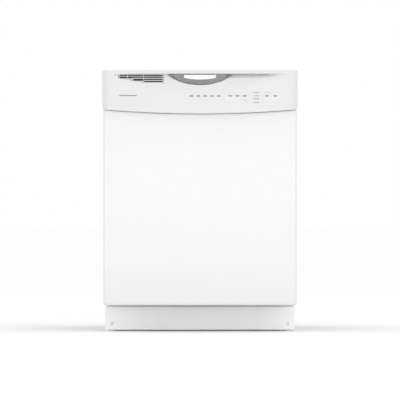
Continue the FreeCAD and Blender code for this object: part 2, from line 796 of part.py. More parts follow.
def key_places():
    names = []
    rows = (("cycle_key", cycle_key_x), ("option_key", option_key_x), ("start_key", start_key_x))
    for stem, places in rows:
        for i, x in enumerate(places):
            names.append((stem + "_" + str(i + 1), x))
    return names


def make_fascia_shell():
    wide = fascia_width / 2.0 + fascia_corner
    outer = bowed_prism(wide, fascia_edge_z, height, True, front_y - 1, fascia_back_y + 1)
    outer = outer.common(plan_prism(0, fascia_back_y))
    inner = bowed_prism(wide, lambda x: fascia_edge_z(x) + plastic, height - plastic, True,
                        front_y - 1, fascia_back_y + 2)
    inner = inner.common(plan_prism(plastic, fascia_back_y + 1))
    inner = inner.cut(scoop_tool(plastic)).cut(pocket_tool(plastic))
    return outer.cut(scoop_tool(0)).cut(pocket_tool(0)).cut(inner)


def make_fascia(shell):
    lug = block(handle_half + 1.5, handle_half + 6, handle_pivot_y - 3.5, handle_pivot_y + 3.5,
                handle_pivot_z - 4, height - lip_depth + 1)
    bore = rod((handle_half, handle_pivot_y, handle_pivot_z),
               (handle_half + 7, handle_pivot_y, handle_pivot_z), handle_pivot_r + fit_gap)
    fascia = fuse([shell.cut(vent_window(0))] + both_sides(lug.cut(bore)))
    w, h = key_size
    for name, x in key_places():
        fascia = fascia.cut(block(x - w / 2 - gap, x + w / 2 + gap, front_y - 2, front_y + 14,
                                  key_row_z - h / 2 - gap, key_row_z + h / 2 + gap))
    for lamp_depth in lamp_depths:
        z = height - lamp_depth
        fascia = fascia.cut(rod((lamp_x, front_y - 2, z), (lamp_x, front_y + 14, z), lamp_r + 0.05))
    return fascia


def make_vent_grille(shell):
    grille = shell.common(vent_window(0.1))
    for row_depth, left in vent_rows:
        z = height - row_depth
        ends = [left] + [x for x in vent_ribs if x > left] + [vent_right_x - 3]
        for low, high in zip(ends[:-1], ends[1:]):
            grille = grille.cut(block(low + 1, high - 1, front_y - 2, front_y + 30,
                                      z - vent_slot / 2, z + vent_slot / 2))
    return grille


def make_key(x):
    w, h = key_size
    y0 = face_y(x) + 0.3
    return block(x - w / 2, x + w / 2, y0, y0 + key_depth, key_row_z - h / 2, key_row_z + h / 2)


def make_lamps():
    lamps = []
    for lamp_depth in lamp_depths:
        z = height - lamp_depth
        lamps.append(rod((lamp_x, face_y(lamp_x) + 0.1, z), (lamp_x, face_y(lamp_x) + 7, z), lamp_r))
    return group(lamps)


def make_control_board():
    y0 = front_y + 14
    return block(cycle_key_x[0] - 20, start_key_x[-1] + 15, y0, y0 + 1.6, height - 112, height - 66)


def make_latch_handle():
    top = handle_pivot_z + 3.5
    low = height - lip_depth - handle_drop + 8.5
    paddle = block(-handle_half, handle_half, front_y + 3.5, front_y + 9.5, low, top)
    reach = handle_half + 5.5
    pin = rod((-reach, handle_pivot_y, handle_pivot_z), (reach, handle_pivot_y, handle_pivot_z),
              handle_pivot_r)
    return fuse([paddle, pin])


def make_liner():
    outer = block(-liner_half, liner_half, liner_front_y, liner_back_y, liner_bottom_z, liner_top_z)
    inner = block(-liner_half + plastic, liner_half - plastic, liner_front_y - 1, liner_back_y - plastic,
                  liner_bottom_z + plastic, liner_top_z - plastic)
    window = block(dispenser_x0 - 0.1, dispenser_x1 + 0.1, liner_back_y - plastic - 1, liner_back_y + 1,
                   dispenser_z0 - 0.1, dispenser_z1 + 0.1)
    return outer.cut(inner).cut(window)


def make_dispenser():
    body = block(dispenser_x0, dispenser_x1, liner_front_y + 4, dispenser_face_y, dispenser_z0, dispenser_z1)
    cup = block(lid_x0 + 5, lid_x1 - 5, liner_front_y + 8, dispenser_face_y + 1, lid_z0 + 5, lid_z1 - 5)
    tank = rod((cap_x, liner_front_y + 8, cap_z), (cap_x, dispenser_face_y + 1, cap_z), rinse_neck_r)
    ear = block(lid_x0 - 3.6, lid_x0 - 0.6, dispenser_face_y - 1, lid_pin_y + 3, lid_z0 - 3, lid_z0 + 3)
    far_ear = block(lid_x1 + 0.6, lid_x1 + 3.6, dispenser_face_y - 1, lid_pin_y + 3, lid_z0 - 3, lid_z0 + 3)
    bore = rod((lid_x0 - 4, lid_pin_y, lid_z0), (lid_x1 + 4, lid_pin_y, lid_z0), lid_pin_r + fit_gap)
    return fuse([body.cut(cup).cut(tank), ear, far_ear]).cut(bore)


def make_detergent_lid():
    half = lid_thickness / 2
    plate = block(lid_x0, lid_x1, lid_pin_y - half, lid_pin_y + half, lid_z0, lid_z1)
    pin = rod((lid_x0 - 3.2, lid_pin_y, lid_z0), (lid_x1 + 3.2, lid_pin_y, lid_z0), lid_pin_r)
    return fuse([plate, pin])


def make_rinse_cap():
    y0 = dispenser_face_y + 0.4
    disc = rod((cap_x, y0, cap_z), (cap_x, y0 + 4, cap_z), rinse_cap_r)
    plug = rod((cap_x, dispenser_face_y - 8, cap_z), (cap_x, y0, cap_z), rinse_neck_r - fit_gap)
    grip = block(cap_x - 12, cap_x + 12, y0 + 4, y0 + 7, cap_z - 2, cap_z + 2)
    return fuse([disc, plug, grip])


def make_hinge_arms():
    x1 = arm_x0 + hinge_arm_thickness
    boss = rod((arm_x0, hinge_y, hinge_z), (x1, hinge_y, hinge_z), hinge_boss_r)
    bar = block(arm_x0, x1, hinge_y - 17, hinge_y - 1, hinge_z, hinge_z + hinge_arm_length)
    bore = rod((arm_x0 - 1, hinge_y, hinge_z), (x1 + 1, hinge_y, hinge_z), hinge_pin_r + fit_gap)
    return group(both_sides(fuse([boss, bar]).cut(bore)))


def make_latch_housing():
    z0 = liner_top_z + 0.5
    body = block(-latch_half, latch_half, pocket_back_y + plastic + 0.5, liner_back_y - 1, z0, z0 + 11.5)
    hook = block(-6, 6, liner_back_y - 1, tub_front_y - strike_thickness - hook_gap, z0 + 2, z0 + 9)
    return fuse([body, hook])


def make_door_strike():
    z0 = liner_top_z + 1
    return block(-20, 20, tub_front_y - strike_thickness, tub_front_y - 0.02, z0, z0 + 10)


def main():
    os.makedirs("parts", exist_ok=True)
    save("tub", make_tub())
    save("front_frame", make_front_frame())
    save("door_gasket", make_gasket())
    save("insulation_blanket", make_blanket())
    save("base_frame", make_base_frame())
    save("door_springs", make_springs())
    for name, x, y in leg_centres():
        save("leveling_leg_" + name, make_leg(x, y))
    save("toe_kick_panel", make_toe_kick())
    save("toe_kick_screws", make_toe_kick_screws())
    save("mounting_brackets", make_mounting_brackets())
    save("hinge_brackets", make_hinge_brackets())
    save("sump", make_sump())
    save("filter_plate", make_filter_plate())
    save("filter_cup", make_filter_cup())
    save("lower_spray_arm", make_lower_spray_arm())
    save("upper_spray_arm", make_upper_spray_arm())
    save("wash_pump_motor", make_wash_pump_motor())
    save("wash_impeller", make_wash_impeller())
    save("drain_pump", make_drain_pump())
    save("inlet_valve", make_inlet_valve())
    save("junction_box", make_junction_box())
    save("heating_element", make_heater())
    save("feed_tube", make_feed_tube())
    save("top_spray_head", make_top_spray_head())
    save("float_dome", make_float())
    save("lower_rack", make_lower_rack())
    save("lower_rack_front_wheels", make_lower_wheels(lower_front_wheel_y))
    save("lower_rack_rear_wheels", make_lower_wheels(lower_rear_wheel_y))
    save("silverware_basket", make_basket())
    save("rack_rails", make_rack_rails())
    save("upper_slide_rails", make_slide_rails())
    save("upper_rack", make_upper_rack())
    save("upper_rack_front_rollers", make_upper_rollers(roller_front_y))
    save("upper_rack_rear_rollers", make_upper_rollers(roller_rear_y))
    shell = make_fascia_shell()
    save("control_fascia", make_fascia(shell))
    save("vent_grille", make_vent_grille(shell))
    save("status_lamps", make_lamps())
    save("control_board", make_control_board())
    save("latch_handle", make_latch_handle())
    for name, x in key_places():
        save(name, make_key(x))
    save("door_outer_panel", make_door_panel())
    save("door_inner_liner", make_liner())
    save("dispenser_body", make_dispenser())
    save("detergent_lid", make_detergent_lid())
    save("rinse_aid_cap", make_rinse_cap())
    save("hinge_arms", make_hinge_arms())
    save("latch_housing", make_latch_housing())
    save("door_strike", make_door_strike())


main()
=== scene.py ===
import json
import math

import bmesh
import bpy
import numpy as np
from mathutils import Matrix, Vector

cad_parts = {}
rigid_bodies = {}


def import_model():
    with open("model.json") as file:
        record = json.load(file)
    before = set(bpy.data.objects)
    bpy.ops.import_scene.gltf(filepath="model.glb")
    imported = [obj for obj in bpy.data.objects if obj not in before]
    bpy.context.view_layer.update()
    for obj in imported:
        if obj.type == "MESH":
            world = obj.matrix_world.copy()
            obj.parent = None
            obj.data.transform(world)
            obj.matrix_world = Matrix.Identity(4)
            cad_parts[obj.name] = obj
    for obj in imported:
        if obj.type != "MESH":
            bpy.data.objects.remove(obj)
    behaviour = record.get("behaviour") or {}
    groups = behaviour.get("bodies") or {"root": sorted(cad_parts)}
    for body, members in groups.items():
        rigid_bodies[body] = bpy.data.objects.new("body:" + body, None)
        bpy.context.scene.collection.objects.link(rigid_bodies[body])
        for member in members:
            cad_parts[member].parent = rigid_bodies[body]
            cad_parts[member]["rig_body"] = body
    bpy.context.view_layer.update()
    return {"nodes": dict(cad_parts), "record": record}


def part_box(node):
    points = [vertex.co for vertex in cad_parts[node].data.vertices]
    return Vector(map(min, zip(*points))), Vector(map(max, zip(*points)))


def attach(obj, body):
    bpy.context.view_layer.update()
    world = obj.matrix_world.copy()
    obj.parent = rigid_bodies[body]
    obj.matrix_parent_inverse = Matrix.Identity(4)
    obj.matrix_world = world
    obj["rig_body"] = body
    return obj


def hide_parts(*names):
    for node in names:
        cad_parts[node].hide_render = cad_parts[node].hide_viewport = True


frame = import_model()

bl_info = {
    "name": "Built in dishwasher finish",
    "version": (1, 0, 0),
    "blender": (4, 5, 0),
    "location": "3D View > Sidebar > Dishwasher",
    "description": "Builds the finished surfaces of a front control built in dishwasher around its frame",
    "category": "Object",
}

SLOT_OF = {s["node"]: s["material_slot"] for s in frame["record"]["subparts"]}


def span(node):
    """Lowest and highest corners of a frame node, as arrays."""
    low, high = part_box(node)
    return np.array(low), np.array(high)


# ---- meshes -------------------------------------------------------------
def grid_quads(rows, columns, close_rows=False, close_columns=False, start=0):
    """Quads between neighbouring points of a rows by columns grid, wrapped where asked."""
    i = np.arange(rows if close_rows else rows - 1)
    j = np.arange(columns if close_columns else columns - 1)
    i, j = np.meshgrid(i, j, indexing="ij")
    n = (i + 1) % rows
    m = (j + 1) % columns
    quads = np.stack([i * columns + j, i * columns + m, n * columns + m, n * columns + j], axis=-1)
    return quads.reshape(-1, 4) + start


def build(name, points, faces, sharp=35.0, fix_normals=True):
    """Object from an array of points and a list of face arrays, one array for each corner count."""
    mesh = bpy.data.meshes.new(name)
    loops = np.concatenate([np.asarray(f).reshape(-1) for f in faces])
    counts = np.concatenate([np.full(len(f), np.asarray(f).shape[1]) for f in faces])
    starts = np.concatenate([[0], np.cumsum(counts)[:-1]])
    mesh.vertices.add(len(points))
    mesh.vertices.foreach_set("co", np.asarray(points, np.float32).reshape(-1))
    mesh.loops.add(len(loops))
    mesh.loops.foreach_set("vertex_index", loops.astype(np.int32))
    mesh.polygons.add(len(counts))
    mesh.polygons.foreach_set("loop_start", starts.astype(np.int32))
    mesh.update(calc_edges=True)
    mesh.validate()
    if fix_normals:
        work = bmesh.new()
        work.from_mesh(mesh)
        bmesh.ops.remove_doubles(work, verts=work.verts, dist=1e-6)
        bmesh.ops.recalc_face_normals(work, faces=work.faces)
        work.to_mesh(mesh)
        work.free()
    mesh.polygons.foreach_set("use_smooth", np.ones(len(mesh.polygons), bool))
    mesh.set_sharp_from_angle(angle=math.radians(sharp))
    piece = bpy.data.objects.new(name, mesh)
    bpy.context.scene.collection.objects.link(piece)
    return piece


def placed(piece, body, slot, material, *nodes):
    """The piece rides on its body, takes its finish, and stands for its frame nodes; the slot argument is not
    used.
    """
    piece.data.materials.clear()
    piece.data.materials.append(material)
    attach(piece, body)
    if nodes:
        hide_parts(*nodes)
    return piece


class Bundle:
    """Collects the points and faces of many small shapes for one mesh."""

    def __init__(self):
        self.points = []
        self.faces = {}
        self.count = 0

    def add(self, points, faces):
        for face in faces:
            face = np.asarray(face)
            self.faces.setdefault(face.shape[1], []).append(face + self.count)
        self.points.append(np.asarray(points))
        self.count += len(points)

    def piece(self, name, sharp=35.0):
        faces = [np.concatenate(rows) for rows in self.faces.values()]
        return build(name, np.concatenate(self.points), faces, sharp)


def bevelled(piece, width, segments=2, angle=30.0):
    """Rounds the piece's hard edges."""
    bevel = piece.modifiers.new("edge_round", "BEVEL")
    bevel.width = width
    bevel.segments = segments
    bevel.limit_method = "ANGLE"
    bevel.angle_limit = math.radians(angle)
    bevel.harden_normals = False
    return piece


def box_shape(low, high):
    """Eight corners and six quads of a box between two corners."""
    low, high = np.asarray(low, float), np.asarray(high, float)
    pick = np.array([[0, 0, 0], [1, 0, 0], [1, 1, 0], [0, 1, 0], [0, 0, 1], [1, 0, 1], [1, 1, 1], [0, 1, 1]])
    quads = np.array([[0, 3, 2, 1], [4, 5, 6, 7], [0, 1, 5, 4], [1, 2, 6, 5], [2, 3, 7, 6], [3, 0, 4, 7]])
    return low + pick * (high - low), [quads]


def unit(v):
    return v / np.maximum(np.linalg.norm(v, axis=-1, keepdims=True), 1e-12)


def arc_points(a, p, b, radius, steps):
    """Points of the arc that rounds the corner p between a and b: centre plus radius at equal angles."""
    u, v = unit(a - p), unit(b - p)
    half = 0.5 * math.acos(float(np.clip(np.dot(u, v), -1, 1)))
    reach = min(radius / math.tan(half), 0.49 * min(np.linalg.norm(a - p), np.linalg.norm(b - p)))
    radius = reach * math.tan(half)
    centre = p + unit(u + v) * radius / math.sin(half)
    start, end = p + u * reach - centre, p + v * reach - centre
    turn = math.pi - 2 * half
    t = np.linspace(0, 1, steps)[:, None]
    return centre + (np.sin((1 - t) * turn) * start + np.sin(t * turn) * end) / math.sin(turn)


def bent_path(corners, radius, steps=6, closed=False):
    """Straight runs joined by arcs, as a wire is bent."""
    corners = [np.asarray(c, float) for c in corners]
    count = len(corners)
    inner = range(count) if closed else range(1, count - 1)
    arcs = [arc_points(corners[i - 1], corners[i], corners[(i + 1) % count], radius, steps) for i in inner]
    if closed:
        return np.concatenate(arcs)
    return np.concatenate([corners[0][None]] + arcs + [corners[-1][None]])


def tube_shape(path, radius, reference, sides=8, closed=False):
    """Round bar along a path: ring point = path + radius (cos a N + sin a B), B square to the path and
    nearest to the reference, N = B x T.  Open ends are closed by a shallow dome of one more ring and a pole."""
    path = np.asarray(path, float)
    if closed:
        tangent = unit(np.roll(path, -1, 0) - np.roll(path, 1, 0))
    else:
        tangent = unit(np.gradient(path, axis=0))
    reference = np.broadcast_to(np.asarray(reference, float), path.shape)
    b = unit(reference - (reference * tangent).sum(1, keepdims=True) * tangent)
    n = np.cross(b, tangent)
    angle = np.linspace(0, 2 * np.pi, sides, endpoint=False)[None, :, None]
    radius = np.broadcast_to(np.asarray(radius, float), len(path))[:, None, None]
    if not closed:
        first = path[0] - tangent[0] * radius[0, 0] * 0.35
        last = path[-1] + tangent[-1] * radius[-1, 0] * 0.35
        path = np.concatenate([path[:1] - tangent[:1] * radius[0, 0] * 0.3, path,
                               path[-1:] + tangent[-1:] * radius[-1, 0] * 0.3])
        n = np.concatenate([n[:1], n, n[-1:]])
        b = np.concatenate([b[:1], b, b[-1:]])
        radius = np.concatenate([radius[:1] * 0.6, radius, radius[-1:] * 0.6])
    rings = path[:, None, :] + radius * (np.cos(angle) * n[:, None, :] + np.sin(angle) * b[:, None, :])
    points = rings.reshape(-1, 3)
    faces = [grid_quads(len(path), sides, closed, True)]
    if not closed:
        j = np.arange(sides)
        k = (j + 1) % sides
        top = (len(path) - 1) * sides
        pole = np.full(sides, len(points))
        faces.append(np.concatenate([np.stack([pole, k, j], 1), np.stack([pole + 1, j + top, k + top], 1)]))
        points = np.concatenate([points, first[None], last[None]])
    return points, faces


def turned_shape(profile, origin, axis, sides=48):
    """Surface of revolution: point = origin + h axis + r (cos a P + sin a Q) for each (r, h) of the profile.
    A profile that starts and ends at r = 0 closes at its poles; any other is closed on itself."""
    profile = np.asarray(profile, float)
    axis = unit(np.asarray(axis, float))
    p = unit(np.cross(axis, [0.0, 0.0, 1.0] if abs(axis[2]) < 0.9 else [1.0, 0.0, 0.0]))
    q = np.cross(axis, p)
    angle = np.linspace(0, 2 * np.pi, sides, endpoint=False)[None, :, None]
    r = profile[:, 0][:, None, None]
    h = profile[:, 1][:, None, None]
    points = np.asarray(origin, float) + h * axis + r * (np.cos(angle) * p + np.sin(angle) * q)
    to_itself = profile[0, 0] > 1e-9
    return points.reshape(-1, 3), [grid_quads(len(profile), sides, to_itself, True)]


def softened(node, material, width=0.0006, segments=2, angle=30.0):
    """A merged copy of a frame node with its flat faces joined and its edges rounded."""
    source = frame["nodes"][node]
    work = bmesh.new()
    work.from_mesh(source.data)
    bmesh.ops.remove_doubles(work, verts=work.verts, dist=2e-6)
    bmesh.ops.dissolve_limit(work, angle_limit=math.radians(1.0), verts=work.verts, edges=work.edges)
    mesh = bpy.data.meshes.new(node + "_finish")
    work.to_mesh(mesh)
    work.free()
    mesh.polygons.foreach_set("use_smooth", np.ones(len(mesh.polygons), bool))
    mesh.set_sharp_from_angle(angle=math.radians(angle))
    piece = bpy.data.objects.new(node + "_finish", mesh)
    bpy.context.scene.collection.objects.link(piece)
    bevelled(piece, width, segments, angle)
    return placed(piece, source["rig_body"], SLOT_OF[node], material, node)


def corner_mapped(distance_x, distance_z, radius):
    """Maps the square corner of side radius onto a quarter disc: a' = a sqrt(1 - b^2 / 2) and the same for b,
    with a and b the shares of the way into the corner."""
    a = np.clip(1 - distance_x / radius, 0, 1)
    b = np.clip(1 - distance_z / radius, 0, 1)
    inside = (a > 0) & (b > 0)
    mapped_x = np.where(inside, radius * (1 - a * np.sqrt(1 - b * b / 2)), distance_x)
    mapped_z = np.where(inside, radius * (1 - b * np.sqrt(1 - a * a / 2)), distance_z)
    return mapped_x, mapped_z


def roll(distance, radius):
    """How far a rolled edge falls back at a distance from the edge: radius minus a circle's height."""
    t = np.clip(1 - distance / radius, 0, 1)
    return radius * (1 - np.sqrt(1 - t * t))


def smooth_step(value, low, high):
    t = np.clip((value - low) / (high - low), 0, 1)
    return t * t * (3 - 2 * t)


def even_and_fine(low, high, count, edge, fine):
    """Positions from low to high: fine steps in a strip along both ends and even ones between."""
    share = np.linspace(0, 1, fine, endpoint=False) ** 1.7
    left = low + edge * share
    return np.concatenate([left, np.linspace(low + edge, high - edge, count), (high + low) - left[::-1]])


class Shader:
    """A material's node tree with short calls for the nodes that the finishes use."""

    def __init__(self, name, colour, roughness, metallic=0.0):
        self.material = bpy.data.materials.new(name)
        self.material.use_nodes = True
        self.nodes = self.material.node_tree.nodes
        self.links = self.material.node_tree.links
        self.surface = self.nodes["Principled BSDF"]
        self.surface.inputs["Base Color"].default_value = (*colour, 1.0)
        self.surface.inputs["Roughness"].default_value = roughness
        self.surface.inputs["Metallic"].default_value = metallic
        self.place = self.nodes.new("ShaderNodeTexCoord").outputs["Object"]
        self.colour = colour

    def stretched(self, scale):
        mapping = self.nodes.new("ShaderNodeMapping")
        mapping.inputs["Scale"].default_value = scale
        self.links.new(self.place, mapping.inputs["Vector"])
        return mapping.outputs["Vector"]

    def noise(self, scale, detail=4.0, vector=None):
        node = self.nodes.new("ShaderNodeTexNoise")
        node.inputs["Scale"].default_value = scale
        node.inputs["Detail"].default_value = detail
        self.links.new(vector or self.place, node.inputs["Vector"])
        return node.outputs["Fac"]

    def cells(self, scale, feature="F1", vector=None):
        node = self.nodes.new("ShaderNodeTexVoronoi")
        node.feature = feature
        node.inputs["Scale"].default_value = scale
        self.links.new(vector or self.place, node.inputs["Vector"])
        return node.outputs["Distance"]

    def tint(self, value, darker, lighter, low=0.35, high=0.65):
        """Base colour swings between two multiples of the finish's colour as the value goes low to high."""
        ramp = self.nodes.new("ShaderNodeValToRGB")
        ramp.color_ramp.elements[0].position = low
        ramp.color_ramp.elements[1].position = high
        ramp.color_ramp.elements[0].color = (*[min(c * darker, 1.0) for c in self.colour], 1.0)
        ramp.color_ramp.elements[1].color = (*[min(c * lighter, 1.0) for c in self.colour], 1.0)
        self.links.new(value, ramp.inputs["Fac"])
        self.links.new(ramp.outputs["Color"], self.surface.inputs["Base Color"])
        return self

    def rough(self, value, low, high):
        node = self.nodes.new("ShaderNodeMapRange")
        node.inputs["From Min"].default_value = 0.3
        node.inputs["From Max"].default_value = 0.7
        node.inputs["To Min"].default_value = low
        node.inputs["To Max"].default_value = high
        self.links.new(value, node.inputs["Value"])
        self.links.new(node.outputs["Result"], self.surface.inputs["Roughness"])
        return self

    def bump(self, value, strength, distance):
        node = self.nodes.new("ShaderNodeBump")
        node.inputs["Strength"].default_value = strength
        node.inputs["Distance"].default_value = distance
        self.links.new(value, node.inputs["Height"])
        self.links.new(node.outputs["Normal"], self.surface.inputs["Normal"])
        return self

    def coat(self, weight, roughness):
        self.surface.inputs["Coat Weight"].default_value = weight
        self.surface.inputs["Coat Roughness"].default_value = roughness
        return self


def gloss_plastic(name, colour, roughness=0.28):
    """Moulded glossy plastic: a faint flow swirl in the colour and a shallow orange peel."""
    shader = Shader(name, colour, roughness)
    shader.tint(shader.noise(9.0, 3.0), 0.985, 1.0)
    shader.rough(shader.noise(60.0), roughness - 0.04, roughness + 0.06)
    shader.bump(shader.noise(420.0, 2.0), 0.05, 0.00008)
    return shader.material


def matte_plastic(name, colour, roughness=0.5, grain=1400.0):
    """Moulded plastic with a spark eroded grain."""
    shader = Shader(name, colour, roughness)
    shader.tint(shader.noise(14.0, 5.0), 0.94, 1.03)
    shader.rough(shader.noise(90.0), roughness - 0.06, roughness + 0.08)
    shader.bump(shader.cells(grain), 0.25, 0.00012)
    return shader.material


def enamel(name, colour, roughness=0.22):
    """Sprayed enamel on steel: slight orange peel under a clear, glossy skin."""
    shader = Shader(name, colour, roughness)
    shader.tint(shader.noise(4.0, 2.0), 0.99, 1.0)
    shader.rough(shader.noise(35.0), roughness - 0.03, roughness + 0.05)
    shader.bump(shader.noise(260.0, 2.0), 0.10, 0.00015)
    return shader.coat(0.25, 0.12).material


def galvanised(name, colour):
    """Zinc coated sheet with large soft spangles."""
    shader = Shader(name, colour, 0.42, 0.85)
    spangle = shader.cells(55.0)
    shader.tint(spangle, 0.86, 1.08, 0.1, 0.8)
    shader.rough(spangle, 0.36, 0.52)
    shader.bump(shader.noise(300.0), 0.08, 0.0001)
    return shader.material


def drawn_metal(name, colour, along=(1.0, 60.0, 60.0), roughness=0.3):
    """Rolled or drawn metal: fine lines along one axis."""
    shader = Shader(name, colour, roughness, 1.0)
    lines = shader.noise(40.0, 6.0, shader.stretched(along))
    shader.tint(lines, 0.88, 1.06)
    shader.rough(lines, roughness - 0.06, roughness + 0.14)
    shader.bump(lines, 0.12, 0.0001)
    return shader.material


def rubber(name, colour):
    """Moulded rubber with a dusty bloom."""
    shader = Shader(name, colour, 0.75)
    shader.tint(shader.noise(25.0, 6.0), 0.85, 1.25)
    shader.bump(shader.noise(900.0), 0.25, 0.0002)
    return shader.material


def felt(name, colour):
    """Needled felt: matted fibres, small lint specks and a soft sheen."""
    shader = Shader(name, colour, 0.95)
    fibres = shader.noise(520.0, 8.0, shader.stretched((1.0, 0.35, 1.0)))
    shader.tint(fibres, 0.55, 1.9, 0.3, 0.75)
    shader.bump(fibres, 0.7, 0.0009)
    shader.surface.inputs["Sheen Weight"].default_value = 0.35
    shader.surface.inputs["Sheen Roughness"].default_value = 0.5
    return shader.material


def heat_tinted(name, colour):
    """Heater sheath dulled by heat and hard water."""
    shader = Shader(name, colour, 0.45, 0.9)
    shader.tint(shader.noise(30.0, 7.0), 0.6, 1.35)
    shader.rough(shader.noise(120.0), 0.35, 0.6)
    shader.bump(shader.noise(700.0), 0.3, 0.0001)
    return shader.material


def circuit(name, colour):
    """Solder mask with a faint pattern of square copper areas."""
    shader = Shader(name, colour, 0.35)
    shader.tint(shader.cells(160.0), 0.7, 1.5, 0.2, 0.5)
    shader.bump(shader.cells(160.0), 0.3, 0.0002)
    return shader.material


def white_wall(name, colour):
    """Plain pale floor with the faintest mottling."""
    shader = Shader(name, colour, 0.9)
    shader.tint(shader.noise(1.5, 2.0), 0.995, 1.0)
    return shader.material


# ---- sizes and colours a user would change --------------------------------
def length(name, description, default):
    return bpy.props.FloatProperty(name=name, description=description, default=default, unit="LENGTH")


def colour(name, description, default):
    return bpy.props.FloatVectorProperty(name=name, description=description, default=default,
                                         subtype="COLOR", size=3, min=0.0, max=1.0)


class DishwasherFront(bpy.types.PropertyGroup):
    edge_roll: length("Edge roll", "Radius of the control panel's rolled outline", 0.0035)
    scoop_round: length("Scoop crease", "Width over which the hand scoop's lower line is softened", 0.0025)
    pocket_wall: length("Pocket wall", "Width over which the finger pocket's wall falls away", 0.003)
    panel_roll: length("Door edge roll", "Radius of the door panel's folded edges", 0.006)
    panel_crown: length("Door crown", "How far the middle of the door panel stands proud of its edges", 0.0006)
    fascia: colour("Control panel", "Colour of the control panel moulding", (0.70, 0.70, 0.703))
    door: colour("Door", "Colour of the enamelled door", (0.735, 0.735, 0.737))
    # Painted light: the toe kick's paint is set lighter than the door's enamel to offset the shade it lies in
    # under the door.
    kick: colour("Toe kick", "Colour of the toe kick paint", (0.92, 0.92, 0.92))
    legend: colour("Legend", "Colour of the printed marks", (0.12, 0.125, 0.13))
    # Painted shade: the darker grey given to the faces deep in the finger pocket stands in for the shade that
    # falls there.
    pocket: colour("Pocket", "Colour of the moulding deep in the finger pocket", (0.56, 0.56, 0.565))


class DishwasherInside(bpy.types.PropertyGroup):
    tub: colour("Tub", "Colour of the tub moulding", (0.52, 0.53, 0.54))
    rack: colour("Rack", "Colour of the coated rack wire", (0.60, 0.62, 0.63))
    wire_sides: bpy.props.IntProperty(name="Wire sides", description="Flats round a rack wire",
                                      default=6, min=4, max=16)
    tine_lean: length("Tine lean", "How far the tips of the plate tines lean back", 0.008)


class DishwasherStage(bpy.types.PropertyGroup):
    camera_distance: length("Camera distance", "From the front of the door to the camera", 12.0)
    camera_height: length("Camera height", "Height of the camera over the floor", 0.4088)
    lens: bpy.props.FloatProperty(name="Lens", description="Focal length on a 36 mm sensor", default=349.07,
                                  subtype="DISTANCE_CAMERA")
    ambient: bpy.props.FloatProperty(name="Ambient", description="Strength of the even light from all round",
                                     default=1.0, min=0.0, max=4.0)
    floor_reach: length("Floor reach", "From the middle of the floor to its edge", 40.0)
    floor: colour("Floor", "Colour of the floor", (0.985, 0.985, 0.985))


def front():
    return bpy.context.scene.dishwasher_front


def inside():
    return bpy.context.scene.dishwasher_inside


# ---- control panel --------------------------------------------------------
FASCIA_LOW, FASCIA_HIGH = span("control_fascia")
DOOR_LOW, DOOR_HIGH = span("door_outer_panel")
HEIGHT = float(FASCIA_HIGH[2])
FRONT = float(FASCIA_LOW[1])
HALF = float(FASCIA_HIGH[0])
SKIN = 0.0002                  # the printed and pressed parts lie this far in front of the moulding
END_CORNER = 0.022
BOW = 0.0035
DROP_MIDDLE = HEIGHT - float(FASCIA_LOW[2])
DROP_END = DROP_MIDDLE - 0.013
LIP = 0.0114
SCOOP_DROP, SCOOP_RADIUS, SCOOP_SLOPE = 0.059, 0.957, 0.2605
POCKET_DROP, POCKET_RADIUS, POCKET_BACK = 0.047, 0.190, FRONT + 0.0385
VENT_TOP, VENT_LOW, VENT_RIGHT, VENT_LEFT, VENT_KNEE = 0.0134, 0.0385, -0.113, -0.252, -0.176
VENT_ROWS = ((0.0161, -0.248), (0.0220, -0.248), (0.0288, -0.210), (0.0356, -0.173))
VENT_SLOT = 0.004
HOLLOW = 0.012
VENT_RIBS = (-0.225, -0.175)
BAR_SETBACK, BAR_THICK = 0.00015, 0.0025
# Half width of the painted shade deep in the finger pocket.
PAINTED_SHADE_HALF_WIDTH = 0.100


def soft_max(a, b, width):
    """Larger of two heights with the crease between them rounded over a width."""
    return 0.5 * (a + b + np.sqrt((a - b) ** 2 + width * width))


def fascia_plan(x):
    """Front seen from above: a shallow parabola, then a quarter circle round each end."""
    flat = HALF - END_CORNER
    over = np.clip(np.abs(x) - flat, 0, END_CORNER)
    bow = BOW * np.minimum(np.abs(x) / flat, 1) ** 2
    return FRONT + SKIN + bow + END_CORNER - np.sqrt(END_CORNER ** 2 - over ** 2)


def fascia_low_edge(x):
    """Lower edge: a parabola, lowest in the middle."""
    return HEIGHT - DROP_MIDDLE + (DROP_MIDDLE - DROP_END) * (x / HALF) ** 2


def scoop_face(x, z):
    """Front with the hand scoop: a floor that slopes back from a rising arc, blended into the front."""
    arc = HEIGHT - SCOOP_DROP + x * x / (2 * SCOOP_RADIUS)
    floor = FRONT + SCOOP_SLOPE * (z - arc)
    return soft_max(fascia_plan(x), floor, front().scoop_round)


def in_vent(x, z, grow=0.0):
    """True inside the vent's outline, whose lower left corner is cut off on a slant."""
    drop = HEIGHT - z
    slant = (x - VENT_LEFT + grow) * (VENT_LOW - 0.025) / (VENT_KNEE - VENT_LEFT) + 0.025
    return ((x > VENT_LEFT - grow) & (x < VENT_RIGHT + grow) & (drop > VENT_TOP - grow)
            & (drop < VENT_LOW + grow) & (drop < slant + grow))


